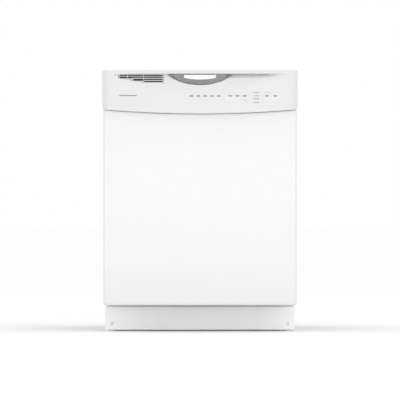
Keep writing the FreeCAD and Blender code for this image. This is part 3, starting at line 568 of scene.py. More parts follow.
def fascia_face(x, z):
    """Whole front: scoop, a hollow worked deeper under the lip on the right, then the finger pocket inside a
    circle, all under the straight lip."""
    plain = fascia_plan(x)
    scoop = scoop_face(x, z)
    hollow = smooth_step(z, HEIGHT - LIP - 0.015, HEIGHT - LIP + 0.002) * smooth_step(x, 0.070, 0.110)
    scoop = scoop + HOLLOW * hollow * (1 - smooth_step(x, 0.190, 0.262))
    inward = POCKET_RADIUS - np.hypot(x, z - (HEIGHT - POCKET_DROP + POCKET_RADIUS))
    wall = front().pocket_wall * (1.5 + 4.0 * smooth_step(np.abs(x), 0.062, 0.105))
    pocket = smooth_step(inward, 0.0, wall) ** 0.8
    pocket = pocket * (1 - 0.75 * smooth_step(np.abs(x), 0.078, 0.108))
    under = scoop + (POCKET_BACK - scoop) * pocket
    under = np.where(in_vent(x, z), scoop + 0.0065, under)
    groove = (1 - smooth_step(np.abs(HEIGHT - 0.0161 - z), 0.0008, 0.0016)) * \
        smooth_step(x, -0.270, -0.262) * (1 - smooth_step(x, -0.252, -0.249))
    under = under + 0.0030 * groove
    share = smooth_step(z, HEIGHT - LIP - 0.0008, HEIGHT - LIP + 0.0006)
    face = under + (plain - under) * share
    edge = front().edge_roll
    return face + roll(HEIGHT - z, edge) + roll(z - fascia_low_edge(x), edge)


def settle_fascia(x, up):
    """Height on the panel at x: level rows over the keys, and the bowed edge taken up below them."""
    bend = DROP_MIDDLE - 0.066
    low = fascia_low_edge(x)
    top = HEIGHT - DROP_MIDDLE + bend
    return np.where(up > bend, HEIGHT - DROP_MIDDLE + up, top - (bend - up) * (top - low) / bend)


def pressed_plate(name, xs, ups, height, radii, settle, face, back_y):
    """A moulding seen square on.  The grid (x, up) has its corners mapped to quarter discs, up is settled to
    a height, y is the face there, and the outline is carried straight back and closed."""
    x, up = np.meshgrid(xs, ups, indexing="xy")
    half = xs[-1]
    side = half - np.abs(x)
    side_low, low = corner_mapped(side, up, radii[0])
    side_high, high = corner_mapped(side, height - up, radii[1])
    in_low = up < height / 2
    x = np.sign(x) * (half - np.where(in_low, side_low, side_high))
    up = np.where(in_low, low, height - high)
    z = settle(x, up)
    y = face(x, z)
    rows, columns = x.shape
    points = np.stack([x, y, z], -1).reshape(-1, 3)
    index = np.arange(rows * columns).reshape(rows, columns)
    rim = np.concatenate([index[0, :-1], index[:-1, -1], index[-1, :0:-1], index[:0:-1, 0]])
    back = points[rim].copy()
    back[:, 1] = back_y
    j = np.arange(len(rim))
    k = (j + 1) % len(rim)
    base = len(points)
    middle = back.mean(0)[None]
    skirt = np.stack([rim[j], rim[k], base + k, base + j], 1)
    cap = np.stack([base + j, base + k, np.full(len(rim), base + len(rim))], 1)
    return build(name, np.concatenate([points, back, middle]), [grid_quads(rows, columns), skirt, cap], 40.0)


def strip_shape(xs, z0, z1, face, thick):
    """Flat bar along X: four corners at each x, the front two on the face, ends closed."""
    z0 = np.broadcast_to(z0, xs.shape)
    z1 = np.broadcast_to(z1, xs.shape)
    low, high = face(xs, z0), face(xs, z1)
    corners = [(low, z0), (high, z1), (high + thick, z1), (low + thick, z0)]
    rings = np.stack([np.stack([xs, y, z], -1) for y, z in corners], 1)
    last = (len(xs) - 1) * 4
    ends = np.array([[0, 1, 2, 3], [last + 3, last + 2, last + 1, last]])
    return rings.reshape(-1, 3), [grid_quads(len(xs), 4, False, True), ends]


class DISHWASHER_OT_control_panel(bpy.types.Operator):
    """Bowed control panel with its hand scoop, finger pocket and lip"""
    bl_idname = "dishwasher.control_panel"
    bl_label = "Control panel"

    def execute(self, context):
        xs = even_and_fine(-HALF, HALF, 360, END_CORNER * 1.2, 18)
        rows = [np.linspace(0, 0.004, 9)[:-1], np.linspace(0.004, DROP_MIDDLE - 0.066, 26)[:-1],
                np.linspace(DROP_MIDDLE - 0.066, DROP_MIDDLE - 0.0125, 62)[:-1],
                np.linspace(DROP_MIDDLE - 0.0125, DROP_MIDDLE - 0.0105, 8)[:-1],
                np.linspace(DROP_MIDDLE - 0.0105, DROP_MIDDLE - 0.004, 7)[:-1],
                np.linspace(DROP_MIDDLE - 0.004, DROP_MIDDLE, 9)]
        panel = pressed_plate("control_panel", xs, np.concatenate(rows), DROP_MIDDLE, (0.008, 0.005),
                              settle_fascia, fascia_face, float(FASCIA_HIGH[1]))
        finish = gloss_plastic("panel_moulding", tuple(front().fascia), 0.3)
        placed(panel, "door", "fascia_white", finish, "control_fascia")
        # Painted shade: a second, darker material on the faces deep in the finger pocket stands in for the shade
        # there.
        panel.data.materials.append(matte_plastic("pocket_painted_shade", tuple(front().pocket), 0.6))
        count = len(panel.data.polygons)
        centres = np.empty(count * 3, np.float32)
        panel.data.polygons.foreach_get("center", centres)
        x, y, z = centres.reshape(-1, 3).T
        # Faces that get the painted shade: deep in the finger pocket, under the lip.
        deep = (y > FRONT + 0.010) & (y < POCKET_BACK + 0.001) & (np.abs(x) < PAINTED_SHADE_HALF_WIDTH) & (z > HEIGHT - 0.060) \
            & (z < HEIGHT - LIP + 0.0006)
        panel.data.polygons.foreach_set("material_index", deep.astype(np.int32))
        return {"FINISHED"}


class DISHWASHER_OT_vent(bpy.types.Operator):
    """Slotted steam vent in the hand scoop"""
    bl_idname = "dishwasher.vent"
    bl_label = "Vent"

    def execute(self, context):
        bars = Bundle()
        edges = [VENT_TOP]
        edges += [e for drop, _ in VENT_ROWS for e in (drop - VENT_SLOT / 2, drop + VENT_SLOT / 2)]
        edges += [VENT_LOW]
        face = lambda x, z: scoop_face(x, z) + BAR_SETBACK
        lefts = [VENT_LEFT] + [left for _, left in VENT_ROWS[1:]] + [VENT_KNEE]
        for i, left in enumerate(lefts):
            top, low = HEIGHT - edges[2 * i], HEIGHT - edges[2 * i + 1]
            if top - low > 0.0003:
                bars.add(*strip_shape(np.linspace(left, VENT_RIGHT, 24), low, top, face, BAR_THICK))
        bars.add(*strip_shape(np.linspace(VENT_RIGHT - 0.003, VENT_RIGHT, 3), HEIGHT - VENT_LOW,
                              HEIGHT - VENT_TOP, face, BAR_THICK))
        for i, (drop, left) in enumerate(VENT_ROWS):
            low, top = HEIGHT - drop - VENT_SLOT / 2 - 0.0004, HEIGHT - drop + VENT_SLOT / 2 + 0.0004
            for rib in VENT_RIBS:
                if rib > left + 0.004:
                    bars.add(*strip_shape(np.linspace(rib - 0.001, rib + 0.001, 3), low, top, face, BAR_THICK))
            outer = VENT_LEFT if i < 2 else left - 0.034
            bars.add(*strip_shape(np.linspace(max(outer, VENT_LEFT), left, 6), low, top, face, BAR_THICK))
        grille = bars.piece("vent_louvres")
        placed(grille, "door", "vent_grey", matte_plastic("vent_moulding", (0.56, 0.56, 0.565)),
               "vent_grille")
        # Painted shadow: a near black plate set deep behind the louvres stands in for the shadow in the vent
        # slots.
        back = Bundle()
        deep = lambda x, z: scoop_face(x, z) + 0.0058
        back.add(*strip_shape(np.linspace(VENT_LEFT + 0.001, VENT_RIGHT - 0.001, 24), HEIGHT - 0.025,
                              HEIGHT - VENT_TOP - 0.0006, deep, 0.0012))
        xs = np.linspace(VENT_KNEE - 0.030, VENT_RIGHT - 0.001, 18)
        slant = np.clip(0.025 + (xs - VENT_LEFT) * (VENT_LOW - 0.025) / (VENT_KNEE - VENT_LEFT), 0, VENT_LOW)
        back.add(*strip_shape(xs, HEIGHT - slant + 0.0006, HEIGHT - 0.025, deep, 0.0012))
        plate = back.piece("vent_painted_shadow_plate")
        placed(plate, "door", "vent_grey", matte_plastic("vent_painted_shadow_finish", (0.05, 0.05, 0.052)))
        return {"FINISHED"}


def pad_shape(x0, x1, z0, z1, face, thick, corner=0.001, steps=5):
    """Low pad with rounded corners: its outline at the face, a slightly smaller one proud of it, and a
    middle point; the outline is also carried back by its thickness and closed."""
    angle = np.linspace(0, np.pi / 2, steps)
    cx = np.array([x1 - corner, x0 + corner, x0 + corner, x1 - corner])
    cz = np.array([z1 - corner, z1 - corner, z0 + corner, z0 + corner])
    turn = angle[None, :] + np.arange(4)[:, None] * np.pi / 2
    x = (cx[:, None] + corner * np.cos(turn)).reshape(-1)
    z = (cz[:, None] + corner * np.sin(turn)).reshape(-1)
    mx, mz = (x0 + x1) / 2, (z0 + z1) / 2
    inset = 1 - 0.00025 / max(min(x1 - x0, z1 - z0) / 2, 0.0005)
    rings = [(x, z, thick), (x, z, 0.00006), (mx + (x - mx) * inset, mz + (z - mz) * inset, 0.0)]
    points = np.concatenate([np.stack([rx, face(rx, rz) + d, rz], -1) for rx, rz, d in rings])
    count = len(x)
    ends = np.array([[mx, float(face(np.array(mx), np.array(mz))), mz],
                     [mx, float(face(np.array(mx), np.array(mz))) + thick, mz]])
    j = np.arange(count)
    k = (j + 1) % count
    top = np.stack([2 * count + j, 2 * count + k, np.full(count, 3 * count)], 1)
    low = np.stack([k, j, np.full(count, 3 * count + 1)], 1)
    return np.concatenate([points, ends]), [grid_quads(3, count, False, True), top, low]


KEY_MARKS = {"cycle_key": ((-0.0052, 0.0052, 0.0016), (-0.0066, 0.0066, -0.0015)),
             "option_key": ((-0.0066, 0.0066, 0.0016), (-0.0040, 0.0040, -0.0015)),
             "start_key": ((-0.0056, 0.0056, 0.0014), (-0.0040, 0.0040, -0.0016))}


class DISHWASHER_OT_keys(bpy.types.Operator):
    """Press keys with their printed marks"""
    bl_idname = "dishwasher.keys"
    bl_label = "Keys"

    def execute(self, context):
        pad = gloss_plastic("key_moulding", tuple(c * 1.01 for c in front().fascia), 0.32)
        ink = matte_plastic("legend_ink", tuple(front().legend), 0.6)
        mark_height = 0.0017
        keys = [node for node in frame["nodes"] if "_key_" in node]
        for node in sorted(keys):
            low, high = span(node)
            face = lambda x, z: fascia_plan(x) - 0.00008
            shape = Bundle()
            shape.add(*pad_shape(low[0], high[0], low[2], high[2], face, 0.0022))
            body = frame["nodes"][node]["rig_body"]
            placed(shape.piece(node + "_pad"), body, "key_white", pad, node)
            marks = Bundle()
            x, z = (low[0] + high[0]) / 2, (low[2] + high[2]) / 2
            above = lambda px, pz: fascia_plan(px) - 0.00016
            for left, right, rise in KEY_MARKS[node.rsplit("_", 1)[0]]:
                marks.add(*pad_shape(x + left, x + right, z + rise - mark_height / 2,
                                     z + rise + mark_height / 2, above, 0.0004, 0.0004, 3))
            placed(marks.piece(node + "_mark"), body, "key_white", ink)
        return {"FINISHED"}


BADGE = (-0.2500, -0.1960, HEIGHT - 0.0805, HEIGHT - 0.0775)


class DISHWASHER_OT_lamps(bpy.types.Operator):
    """Row of status lamps, their printed marks and the frame over the start keys"""
    bl_idname = "dishwasher.lamps"
    bl_label = "Lamps"

    def execute(self, context):
        low, high = span("status_lamps")
        x = (low[0] + high[0]) / 2
        radius = (high[0] - low[0]) / 2
        drops = np.array([0.070, 0.080, 0.089, 0.100])
        lenses = Bundle()
        lines = Bundle()
        above = lambda px, pz: fascia_plan(px) - 0.00012
        for drop in drops:
            z = HEIGHT - drop
            y = float(fascia_plan(np.array(x)))
            dome = [(0, 0.00015), (radius * 0.6, 0.0001), (radius, 0), (radius, -0.002), (0, -0.002)]
            lenses.add(*turned_shape(dome, (x - 0.006, y, z), (0, -1, 0), 16))
            lines.add(*pad_shape(x - 0.0030, x + 0.0115, z - 0.0010, z + 0.0010, above, 0.0004, 0.0005, 3))
        placed(lenses.piece("lamp_lenses"), "door", "lamp_lens",
               gloss_plastic("lamp_lens_finish", (0.42, 0.42, 0.40), 0.15), "status_lamps")
        lines.add(*pad_shape(*BADGE, above, 0.0004, 0.0012, 4))
        z = HEIGHT - 0.0705
        lines.add(*pad_shape(0.2005, 0.2185, z, z + 0.0006, above, 0.0004, 0.0003, 3))
        for x0 in (0.2005, 0.2179):
            lines.add(*pad_shape(x0, x0 + 0.0006, z - 0.002, z + 0.0006, above, 0.0004, 0.0003, 3))
        ring = turned_shape([(0.0022, 0.0002), (0.0028, 0.0002), (0.0028, -0.0003), (0.0022, -0.0003)],
                            (0.140, float(fascia_plan(np.array(0.140))) , HEIGHT - 0.094), (0, -1, 0), 20)
        lines.add(*ring)
        placed(lines.piece("printed_marks"), "door", "fascia_white",
               matte_plastic("faint_ink", (0.26, 0.265, 0.27), 0.6))
        return {"FINISHED"}


class DISHWASHER_OT_latch_tab(bpy.types.Operator):
    """Latch tab in the finger pocket"""
    bl_idname = "dishwasher.latch_tab"
    bl_label = "Latch tab"

    def execute(self, context):
        low, high = span("latch_handle")
        half = 0.050
        top, bottom = float(high[2]), float(low[2])
        bow = 0.005
        edge = lambda x: bottom + bow * (x / half) ** 2
        height = top - bottom

        def face(x, z):
            """Leans back upwards and curls away along its outline."""
            rise = (z - edge(x)) / height
            lean = 0.0022 * rise
            side = half - np.abs(x)
            return float(low[1]) + lean + roll(side, 0.003) + roll(z - edge(x), 0.0028)

        xs = even_and_fine(-half, half, 50, 0.004, 6)
        ups = even_and_fine(0, height, 14, 0.004, 6)
        settle = lambda x, up: edge(x) + up / height * (top - edge(x))
        tab = pressed_plate("latch_tab", xs, ups, height, (0.004, 0.002), settle, face, -0.3030)
        placed(tab, "latch_handle", "handle_white", gloss_plastic("tab_moulding", (0.86, 0.86, 0.86), 0.25),
               "latch_handle")
        return {"FINISHED"}


# ---- door and toe kick ----------------------------------------------------
class DISHWASHER_OT_door_panel(bpy.types.Operator):
    """Enamelled outer door panel"""
    bl_idname = "dishwasher.door_panel"
    bl_label = "Door panel"

    def execute(self, context):
        half = float(DOOR_HIGH[0])
        bottom, front_face = float(DOOR_LOW[2]), float(DOOR_LOW[1])
        gap = 0.0009
        top = lambda x: fascia_low_edge(x * HALF / half * 0.99) - gap
        height = HEIGHT - DROP_MIDDLE - gap - bottom
        crown, turn = front().panel_crown, front().panel_roll

        def face(x, z):
            """A faint pillow, falling away round the outline as a rolled sheet edge."""
            rise = (z - bottom) / height
            pillow = crown * (x / half) ** 2 + crown * (2 * rise - 1) ** 2
            edge = roll(half - np.abs(x), turn) + roll(z - bottom, turn) + roll(top(x) - z, 0.002)
            return front_face + 0.5 * pillow + edge

        xs = even_and_fine(-half, half, 90, 0.010, 9)
        ups = even_and_fine(0, height, 90, 0.010, 9)
        settle = lambda x, up: bottom + up / height * (top(x) - bottom)
        panel = pressed_plate("door_panel", xs, ups, height, (0.007, 0.001), settle, face,
                              float(DOOR_HIGH[1]))
        placed(panel, "door", "door_enamel", enamel("door_enamel_finish", tuple(front().door)),
               "door_outer_panel")
        return {"FINISHED"}


class DISHWASHER_OT_toe_kick(bpy.types.Operator):
    """Painted toe kick with its two screws"""
    bl_idname = "dishwasher.toe_kick"
    bl_label = "Toe kick"

    def execute(self, context):
        low, high = span("toe_kick_panel")
        half, height, y = float(high[0]), float(high[2] - low[2]), float(low[1])

        def face(x, z):
            """Flat sheet with small folds at its top, bottom and ends."""
            return (y + roll(half - np.abs(x), 0.002) + roll(high[2] - z, 0.003) + roll(z - low[2], 0.0015))

        xs = even_and_fine(-half, half, 60, 0.004, 6)
        ups = even_and_fine(0, height, 20, 0.004, 6)
        kick = pressed_plate("toe_kick", xs, ups, height, (0.0015, 0.0015), lambda x, up: low[2] + up, face,
                             float(high[1]))
        # Painted light: the toe kick's paint colour is set lighter than the door's to offset the shade under the
        # door.
        placed(kick, "cabinet", "kick_paint", enamel("kick_paint_with_painted_light", tuple(front().kick), 0.4),
               "toe_kick_panel")
        screws = Bundle()
        s_low, s_high = span("toe_kick_screws")
        radius = (s_high[2] - s_low[2]) / 2
        z = (s_high[2] + s_low[2]) / 2
        profile = [(0, -0.0006), (radius * 0.28, -0.0006), (radius * 0.34, 0.0), (radius * 0.8, -0.0003),
                   (radius, -0.0012), (radius, -0.0022), (radius * 0.45, -0.0022), (radius * 0.45, -0.014),
                   (0, -0.015)]
        for side in (-1, 1):
            x = side * (s_high[0] - radius)
            screws.add(*turned_shape(profile, (x, s_low[1], z), (0, -1, 0), 20))
        placed(screws.piece("kick_screws"), "cabinet", SLOT_OF["toe_kick_screws"],
               drawn_metal("screw_metal", (0.62, 0.62, 0.62)), "toe_kick_screws")
        return {"FINISHED"}


# ---- inside and underneath ------------------------------------------------

class DISHWASHER_OT_stage(bpy.types.Operator):
    """Pale floor, soft studio lights and the camera"""
    bl_idname = "dishwasher.stage"
    bl_label = "Stage"

    def execute(self, context):
        choice = bpy.context.scene.dishwasher_stage
        scene = context.scene
        reach = choice.floor_reach
        x, y = np.meshgrid(np.linspace(-reach, reach, 9), np.linspace(-reach, reach, 9), indexing="xy")
        grid = np.stack([x, y, 0.0 * x], -1).reshape(-1, 3)
        floor = build("studio_floor", grid, [grid_quads(9, 9)], 60.0, False)
        floor.data.materials.append(white_wall("studio_paper", tuple(choice.floor)))

        world = bpy.data.worlds.new("studio")
        world.use_nodes = True
        plain = world.node_tree.nodes["Background"]
        plain.inputs["Color"].default_value = (1.0, 1.0, 1.0, 1.0)
        plain.inputs["Strength"].default_value = choice.ambient
        scene.world = world

        def lamp(name, place, target, size, power):
            light = bpy.data.lights.new(name, "AREA")
            light.shape = "RECTANGLE"
            light.size, light.size_y = size
            light.energy = power
            piece = bpy.data.objects.new(name, light)
            piece.location = place
            direction = np.array(target, float) - np.array(place, float)
            piece.rotation_euler = Vector(direction).to_track_quat("-Z", "Y").to_euler()
            scene.collection.objects.link(piece)

        lamp("key_light", (1.8, -3.4, 3.4), (0.0, -0.2, 0.45), (2.4, 2.4), 10.0)
        lamp("low_light", (0.2, -4.6, 0.45), (0.0, -0.2, 0.15), (3.6, 0.7), 22.0)
        lamp("top_light", (0.2, -0.4, 4.4), (0.0, 0.1, 0.5), (3.4, 2.6), 10.0)

        view = bpy.data.cameras.new("product_camera")
        view.sensor_width = 36.0
        view.lens = choice.lens
        view.clip_end = 60.0
        camera = bpy.data.objects.new("product_camera", view)
        camera.location = (0.0, FRONT - choice.camera_distance, choice.camera_height)
        camera.rotation_euler = (math.pi / 2, 0.0, 0.0)
        scene.collection.objects.link(camera)
        scene.camera = camera
        scene.view_settings.view_transform = "Standard"
        return {"FINISHED"}


LOWER_INSET, LOWER_RISE = 0.0172, 0.013
UPPER_INSET, UPPER_RISE = 0.0192, 0.029
RIM, WIRE, TINE = 0.0028, 0.0020, 0.0015


def rack_wires(node, inset, rise, rim_radius, wire_radius, tine_radius, rows, tine_height, scoop_front):
    """Wire basket: a rounded rim, U-shaped wires both ways under it and looped plate tines along its rows.
    It stands in from the node's sides and up from its foot, where the axles and their brackets are."""
    low, high = span(node)
    sides = inside().wire_sides
    x0, x1 = low[0] + inset + rim_radius, high[0] - inset - rim_radius
    y0, y1 = low[1] + rim_radius, high[1] - rim_radius
    top = high[2] - rim_radius
    floor = low[2] + rise + wire_radius
    bundle = Bundle()

    def loop(inset, z, radius):
        corners = [(x0 + inset, y0 + inset, z), (x1 - inset, y0 + inset, z),
                   (x1 - inset, y1 - inset, z), (x0 + inset, y1 - inset, z)]
        bundle.add(*tube_shape(bent_path(corners, 0.030, 7, True), radius, (0, 0, 1), sides, True))

    loop(0.0, top, rim_radius)
    loop(0.0008, (top + floor) / 2 + 0.012, wire_radius)
    loop(0.004, floor + 0.030, wire_radius)
    for x in np.linspace(x0 + 0.045, x1 - 0.045, 12):
        path = [(x, y0 + wire_radius, top), (x, y0 + 0.006, floor + 2 * wire_radius),
                (x, y1 - 0.006, floor + 2 * wire_radius), (x, y1 - wire_radius, top)]
        bundle.add(*tube_shape(bent_path(path, 0.022, 6), wire_radius, (1, 0, 0), sides))
    for y in np.linspace(y0 + 0.045, y1 - 0.045, 11):
        path = [(x0 + wire_radius, y, top), (x0 + 0.006, y, floor), (x1 - 0.006, y, floor),
                (x1 - wire_radius, y, top)]
        bundle.add(*tube_shape(bent_path(path, 0.022, 6), wire_radius, (0, 1, 0), sides))
    lean = inside().tine_lean
    for row in rows:
        ys = np.arange(y0 + 0.035, y1 - 0.03, 0.026)
        base = floor + 3 * wire_radius + tine_radius
        rail = [(row, y0 + 0.01, base), (row, y1 - 0.01, base)]
        bundle.add(*tube_shape(np.linspace(rail[0], rail[1], 4), wire_radius, (1, 0, 0), sides))
        for a, b in zip(ys[0::2], ys[1::2]):
            loop_path = [(row, a, base), (row + lean * 0.2, a + 0.001, base + tine_height - 0.001),
                         (row + lean * 0.2, b - 0.001, base + tine_height - 0.001), (row, b, base)]
            bundle.add(*tube_shape(bent_path(loop_path, 0.0125, 7), tine_radius, (1, 0, 0), 5))
    if scoop_front:
        path = [(-0.11, y0, top), (-0.07, y0 + 0.003, top - 0.030), (0.07, y0 + 0.003, top - 0.030),
                (0.11, y0, top)]
        bundle.add(*tube_shape(bent_path(path, 0.02, 6), wire_radius, (0, 1, 0), sides))
    return bundle


def lattice_wall(bundle, start, end, z0, z1, pitch, thick, inward):
    """Open wall of a basket: slim upright bars and cross bars between two corners."""
    start, end = np.array(start, float), np.array(end, float)
    run = np.linalg.norm(end - start)
    along = (end - start) / run
    inward = np.array(inward, float)

    def bar(a, b, low, high):
        p = start + along * a
        q = start + along * b + inward * thick
        corners = np.array([[min(p[0], q[0]), min(p[1], q[1]), low],
                            [max(p[0], q[0]), max(p[1], q[1]), high]])
        bundle.add(*box_shape(corners[0], corners[1]))

    count = max(int(round(run / pitch)), 2)
    for a in np.linspace(0, run - 0.0028, count + 1):
        bar(a, a + 0.0028, z0, z1)
    for z in np.linspace(z0, z1 - 0.003, max(int(round((z1 - z0) / pitch)), 2) + 1):
        bar(0.0, run, z, z + 0.003)


class DISHWASHER_OT_racks(bpy.types.Operator):
    """Upper and lower racks of coated wire"""
    bl_idname = "dishwasher.racks"
    bl_label = "Racks"

    def execute(self, context):
        coat = gloss_plastic("rack_coating", tuple(inside().rack), 0.35)
        lower = rack_wires("lower_rack", LOWER_INSET, LOWER_RISE, RIM, WIRE, TINE,
                           (-0.200, -0.120, -0.040, 0.040), 0.058, True)
        for node in ("lower_rack_front_wheels", "lower_rack_rear_wheels"):
            w_low, w_high = span(node)
            y, z = (w_low[1] + w_high[1]) / 2, (w_low[2] + w_high[2]) / 2
            for side in (-1, 1):
                inner, outer = side * 0.244, side * (w_high[0] + 0.0005)
                pin = np.array([[inner, y, z], [(inner + outer) / 2, y, z], [outer, y, z]])
                lower.add(*tube_shape(pin, 0.0037, (0, 0, 1), 12))
                path = [(side * 0.246, y, z), (side * 0.2465, y, z + 0.02), (side * 0.2450, y, z + 0.06)]
                lower.add(*tube_shape(bent_path(path, 0.01, 4), 0.0026, (0, 1, 0), 8))
        placed(lower.piece("lower_rack_wire"), "lower_rack", "rack_nylon", coat, "lower_rack")
        upper = rack_wires("upper_rack", UPPER_INSET, UPPER_RISE, RIM, WIRE, TINE,
                           (-0.170, 0.0, 0.170), 0.036, False)
        for node in ("upper_rack_front_rollers", "upper_rack_rear_rollers"):
            w_low, w_high = span(node)
            y, z = (w_low[1] + w_high[1]) / 2, (w_low[2] + w_high[2]) / 2
            for side in (-1, 1):
                inner, outer = side * 0.2415, side * (w_high[0] + 0.0004)
                pin = np.array([[inner, y, z], [(inner + outer) / 2, y, z], [outer, y, z]])
                upper.add(*tube_shape(pin, 0.0028, (0, 0, 1), 10))
        a_low, a_high = span("upper_spray_arm")
        r_high = span("upper_rack")[1]
        y0, z = (a_low[1] + a_high[1]) / 2, 0.462
        pipe = np.linspace((0.0, y0 - 0.006, z), (0.0, r_high[1] - 0.002, z), 6)
        upper.add(*tube_shape(pipe, 0.0079, (0, 0, 1), 18))
        post = np.linspace((0.0, y0, a_high[2] - 0.004), (0.0, y0, z), 4)
        upper.add(*tube_shape(post, 0.0073, (0, 1, 0), 18))
        placed(upper.piece("upper_rack_wire"), "upper_rack", "rack_nylon", coat, "upper_rack")
        return {"FINISHED"}


def wheel_profile(radius, width, bore):
    """Tread with rounded shoulders, a thin web and a hub; (r, h) pairs closed on themselves."""
    w = width / 2
    edge = 0.0015
    return [(bore, w), (bore + 0.0028, w), (bore + 0.0034, w * 0.35), (radius - 0.0045, w * 0.35),
            (radius - 0.0038, w - 0.0003), (radius - edge, w), (radius, w - edge), (radius, -w + edge),
            (radius - edge, -w), (radius - 0.0038, -w + 0.0003), (radius - 0.0045, -w * 0.35),
            (bore + 0.0034, -w * 0.35), (bore + 0.0028, -w), (bore, -w)]


class DISHWASHER_OT_wheels(bpy.types.Operator):
    """Rack wheels and rollers with hub, web and tread"""
    bl_idname = "dishwasher.wheels"
    bl_label = "Wheels"

    def execute(self, context):
        grey = matte_plastic("wheel_plastic", (0.34, 0.35, 0.36), 0.45)
        for node, bore in (("lower_rack_front_wheels", 0.0041), ("lower_rack_rear_wheels", 0.0041),
                           ("upper_rack_front_rollers", 0.0031), ("upper_rack_rear_rollers", 0.0031)):
            low, high = span(node)
            radius = (high[2] - low[2]) / 2
            inner = float(min(v.co.x for v in frame["nodes"][node].data.vertices if v.co.x > 0))
            width, x = high[0] - inner, (high[0] + inner) / 2
            pair = Bundle()
            for side in (-1, 1):
                centre = (side * x, (low[1] + high[1]) / 2, (low[2] + high[2]) / 2)
                pair.add(*turned_shape(wheel_profile(radius, width, bore), centre, (1, 0, 0), 28))
                for k in range(6):
                    angle = k * np.pi / 3
                    a, b = bore + 0.003, radius - 0.0042
                    d = np.array([0, np.cos(angle), np.sin(angle)])
                    spoke = np.array(centre) + d * np.linspace(a, b, 3)[:, None]
                    pair.add(*tube_shape(spoke, 0.0009, (1, 0, 0), 5))
            placed(pair.piece(node + "_moulding"), frame["nodes"][node]["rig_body"], SLOT_OF[node], grey, node)
        return {"FINISHED"}


class DISHWASHER_OT_basket(bpy.types.Operator):
    """Silverware basket with open lattice walls and a handle"""
    bl_idname = "dishwasher.basket"
    bl_label = "Silverware basket"

    def execute(self, context):
        low, high = span("silverware_basket")
        z0, z1 = low[2], low[2] + 0.128
        wall, pitch = 0.0022, 0.0125
        bundle = Bundle()
        x0, x1, y0, y1 = low[0], high[0], low[1], high[1]
        lattice_wall(bundle, (x0, y0, 0)[:2] + (0,), (x1, y0, 0), z0, z1, pitch, wall, (0, 1, 0))
        lattice_wall(bundle, (x0, y1, 0), (x1, y1, 0), z0, z1, pitch, wall, (0, -1, 0))
        lattice_wall(bundle, (x0, y0, 0), (x0, y1, 0), z0, z1, pitch, wall, (1, 0, 0))
        lattice_wall(bundle, (x1, y0, 0), (x1, y1, 0), z0, z1, pitch, wall, (-1, 0, 0))
        third = (y1 - y0) / 3
        for i in (1, 2):
            lattice_wall(bundle, (x0, y0 + i * third, 0), (x1, y0 + i * third, 0), z0, z1, pitch, wall,
                         (0, 1, 0))
        for y in np.arange(y0, y1 - 0.002, pitch):
            bundle.add(*box_shape((x0, y, z0), (x1, y + 0.003, z0 + 0.0025)))
        for x in np.arange(x0, x1 - 0.002, pitch):
            bundle.add(*box_shape((x, y0, z0), (x + 0.003, y1, z0 + 0.0025)))
        rim = [(x0 + 0.002, y0 + 0.002, z1 - 0.002), (x1 - 0.002, y0 + 0.002, z1 - 0.002),
               (x1 - 0.002, y1 - 0.002, z1 - 0.002), (x0 + 0.002, y1 - 0.002, z1 - 0.002)]
        bundle.add(*tube_shape(bent_path(rim, 0.008, 5, True), 0.002, (0, 0, 1), 8, True))
        middle, y = (x0 + x1) / 2, y0 + third + 0.001
        grip = [(middle - 0.024, y, z1 - 0.006), (middle - 0.024, y, high[2] - 0.003),
                (middle + 0.024, y, high[2] - 0.003), (middle + 0.024, y, z1 - 0.006)]
        bundle.add(*tube_shape(bent_path(grip, 0.014, 8), 0.003, (0, 1, 0), 10))
        placed(bundle.piece("silverware_basket_lattice"), "silverware_basket", "basket_grey",
               matte_plastic("basket_plastic", (0.42, 0.43, 0.45), 0.42), "silverware_basket")
        return {"FINISHED"}


# ---- door inside ----------------------------------------------------------
class DISHWASHER_OT_door_liner(bpy.types.Operator):
    """Moulded inner liner with its pressed border, and the dispenser set into it"""
    bl_idname = "dishwasher.door_liner"
    bl_label = "Door liner"

    def execute(self, context):
        low, high = span("door_inner_liner")
        d_low, d_high = span("dispenser_body")
        half, bottom, height = float(high[0]), float(low[2]), float(high[2] - low[2])

        def face(x, z):
            """Border at full depth, a field pressed in 5 mm, three shallow ribs across its lower part and a
            flat land round the dispenser."""
            inset = np.minimum(np.minimum(half - np.abs(x), z - bottom), high[2] - z)
            field = 0.005 * smooth_step(inset, 0.026, 0.040)
            ribs = sum(0.0022 * np.exp(-((z - r) / 0.007) ** 2) * smooth_step(half - np.abs(x), 0.07, 0.10)
                       for r in (0.210, 0.255, 0.300, 0.520, 0.600))
            land = (smooth_step(x, d_low[0] - 0.022, d_low[0] - 0.012)
                    * (1 - smooth_step(x, d_high[0] + 0.012, d_high[0] + 0.022))
                    * smooth_step(z, d_low[2] - 0.022, d_low[2] - 0.012)
                    * (1 - smooth_step(z, d_high[2] + 0.012, d_high[2] + 0.022)))
            edge = roll(half - np.abs(x), 0.006) + roll(z - bottom, 0.006) + roll(high[2] - z, 0.006)
            return high[1] - (field - ribs) * (1 - land) - edge

        xs = even_and_fine(-half, half, 110, 0.008, 7)
        ups = even_and_fine(0, height, 130, 0.008, 7)
        liner = pressed_plate("door_liner", xs, ups, height, (0.012, 0.012), lambda x, up: bottom + up, face,
                              float(low[1]))
        placed(liner, "door", "liner_plastic", gloss_plastic("liner_moulding", (0.60, 0.61, 0.62), 0.34),
               "door_inner_liner")
        grey = matte_plastic("dispenser_plastic", (0.40, 0.42, 0.44), 0.4)
        softened("dispenser_body", grey, 0.0016, 3)
        softened("detergent_lid", matte_plastic("lid_plastic", (0.58, 0.60, 0.62), 0.35), 0.0008, 2)
        softened("rinse_aid_cap", matte_plastic("cap_plastic", (0.22, 0.25, 0.30), 0.35), 0.0007, 2)
        return {"FINISHED"}


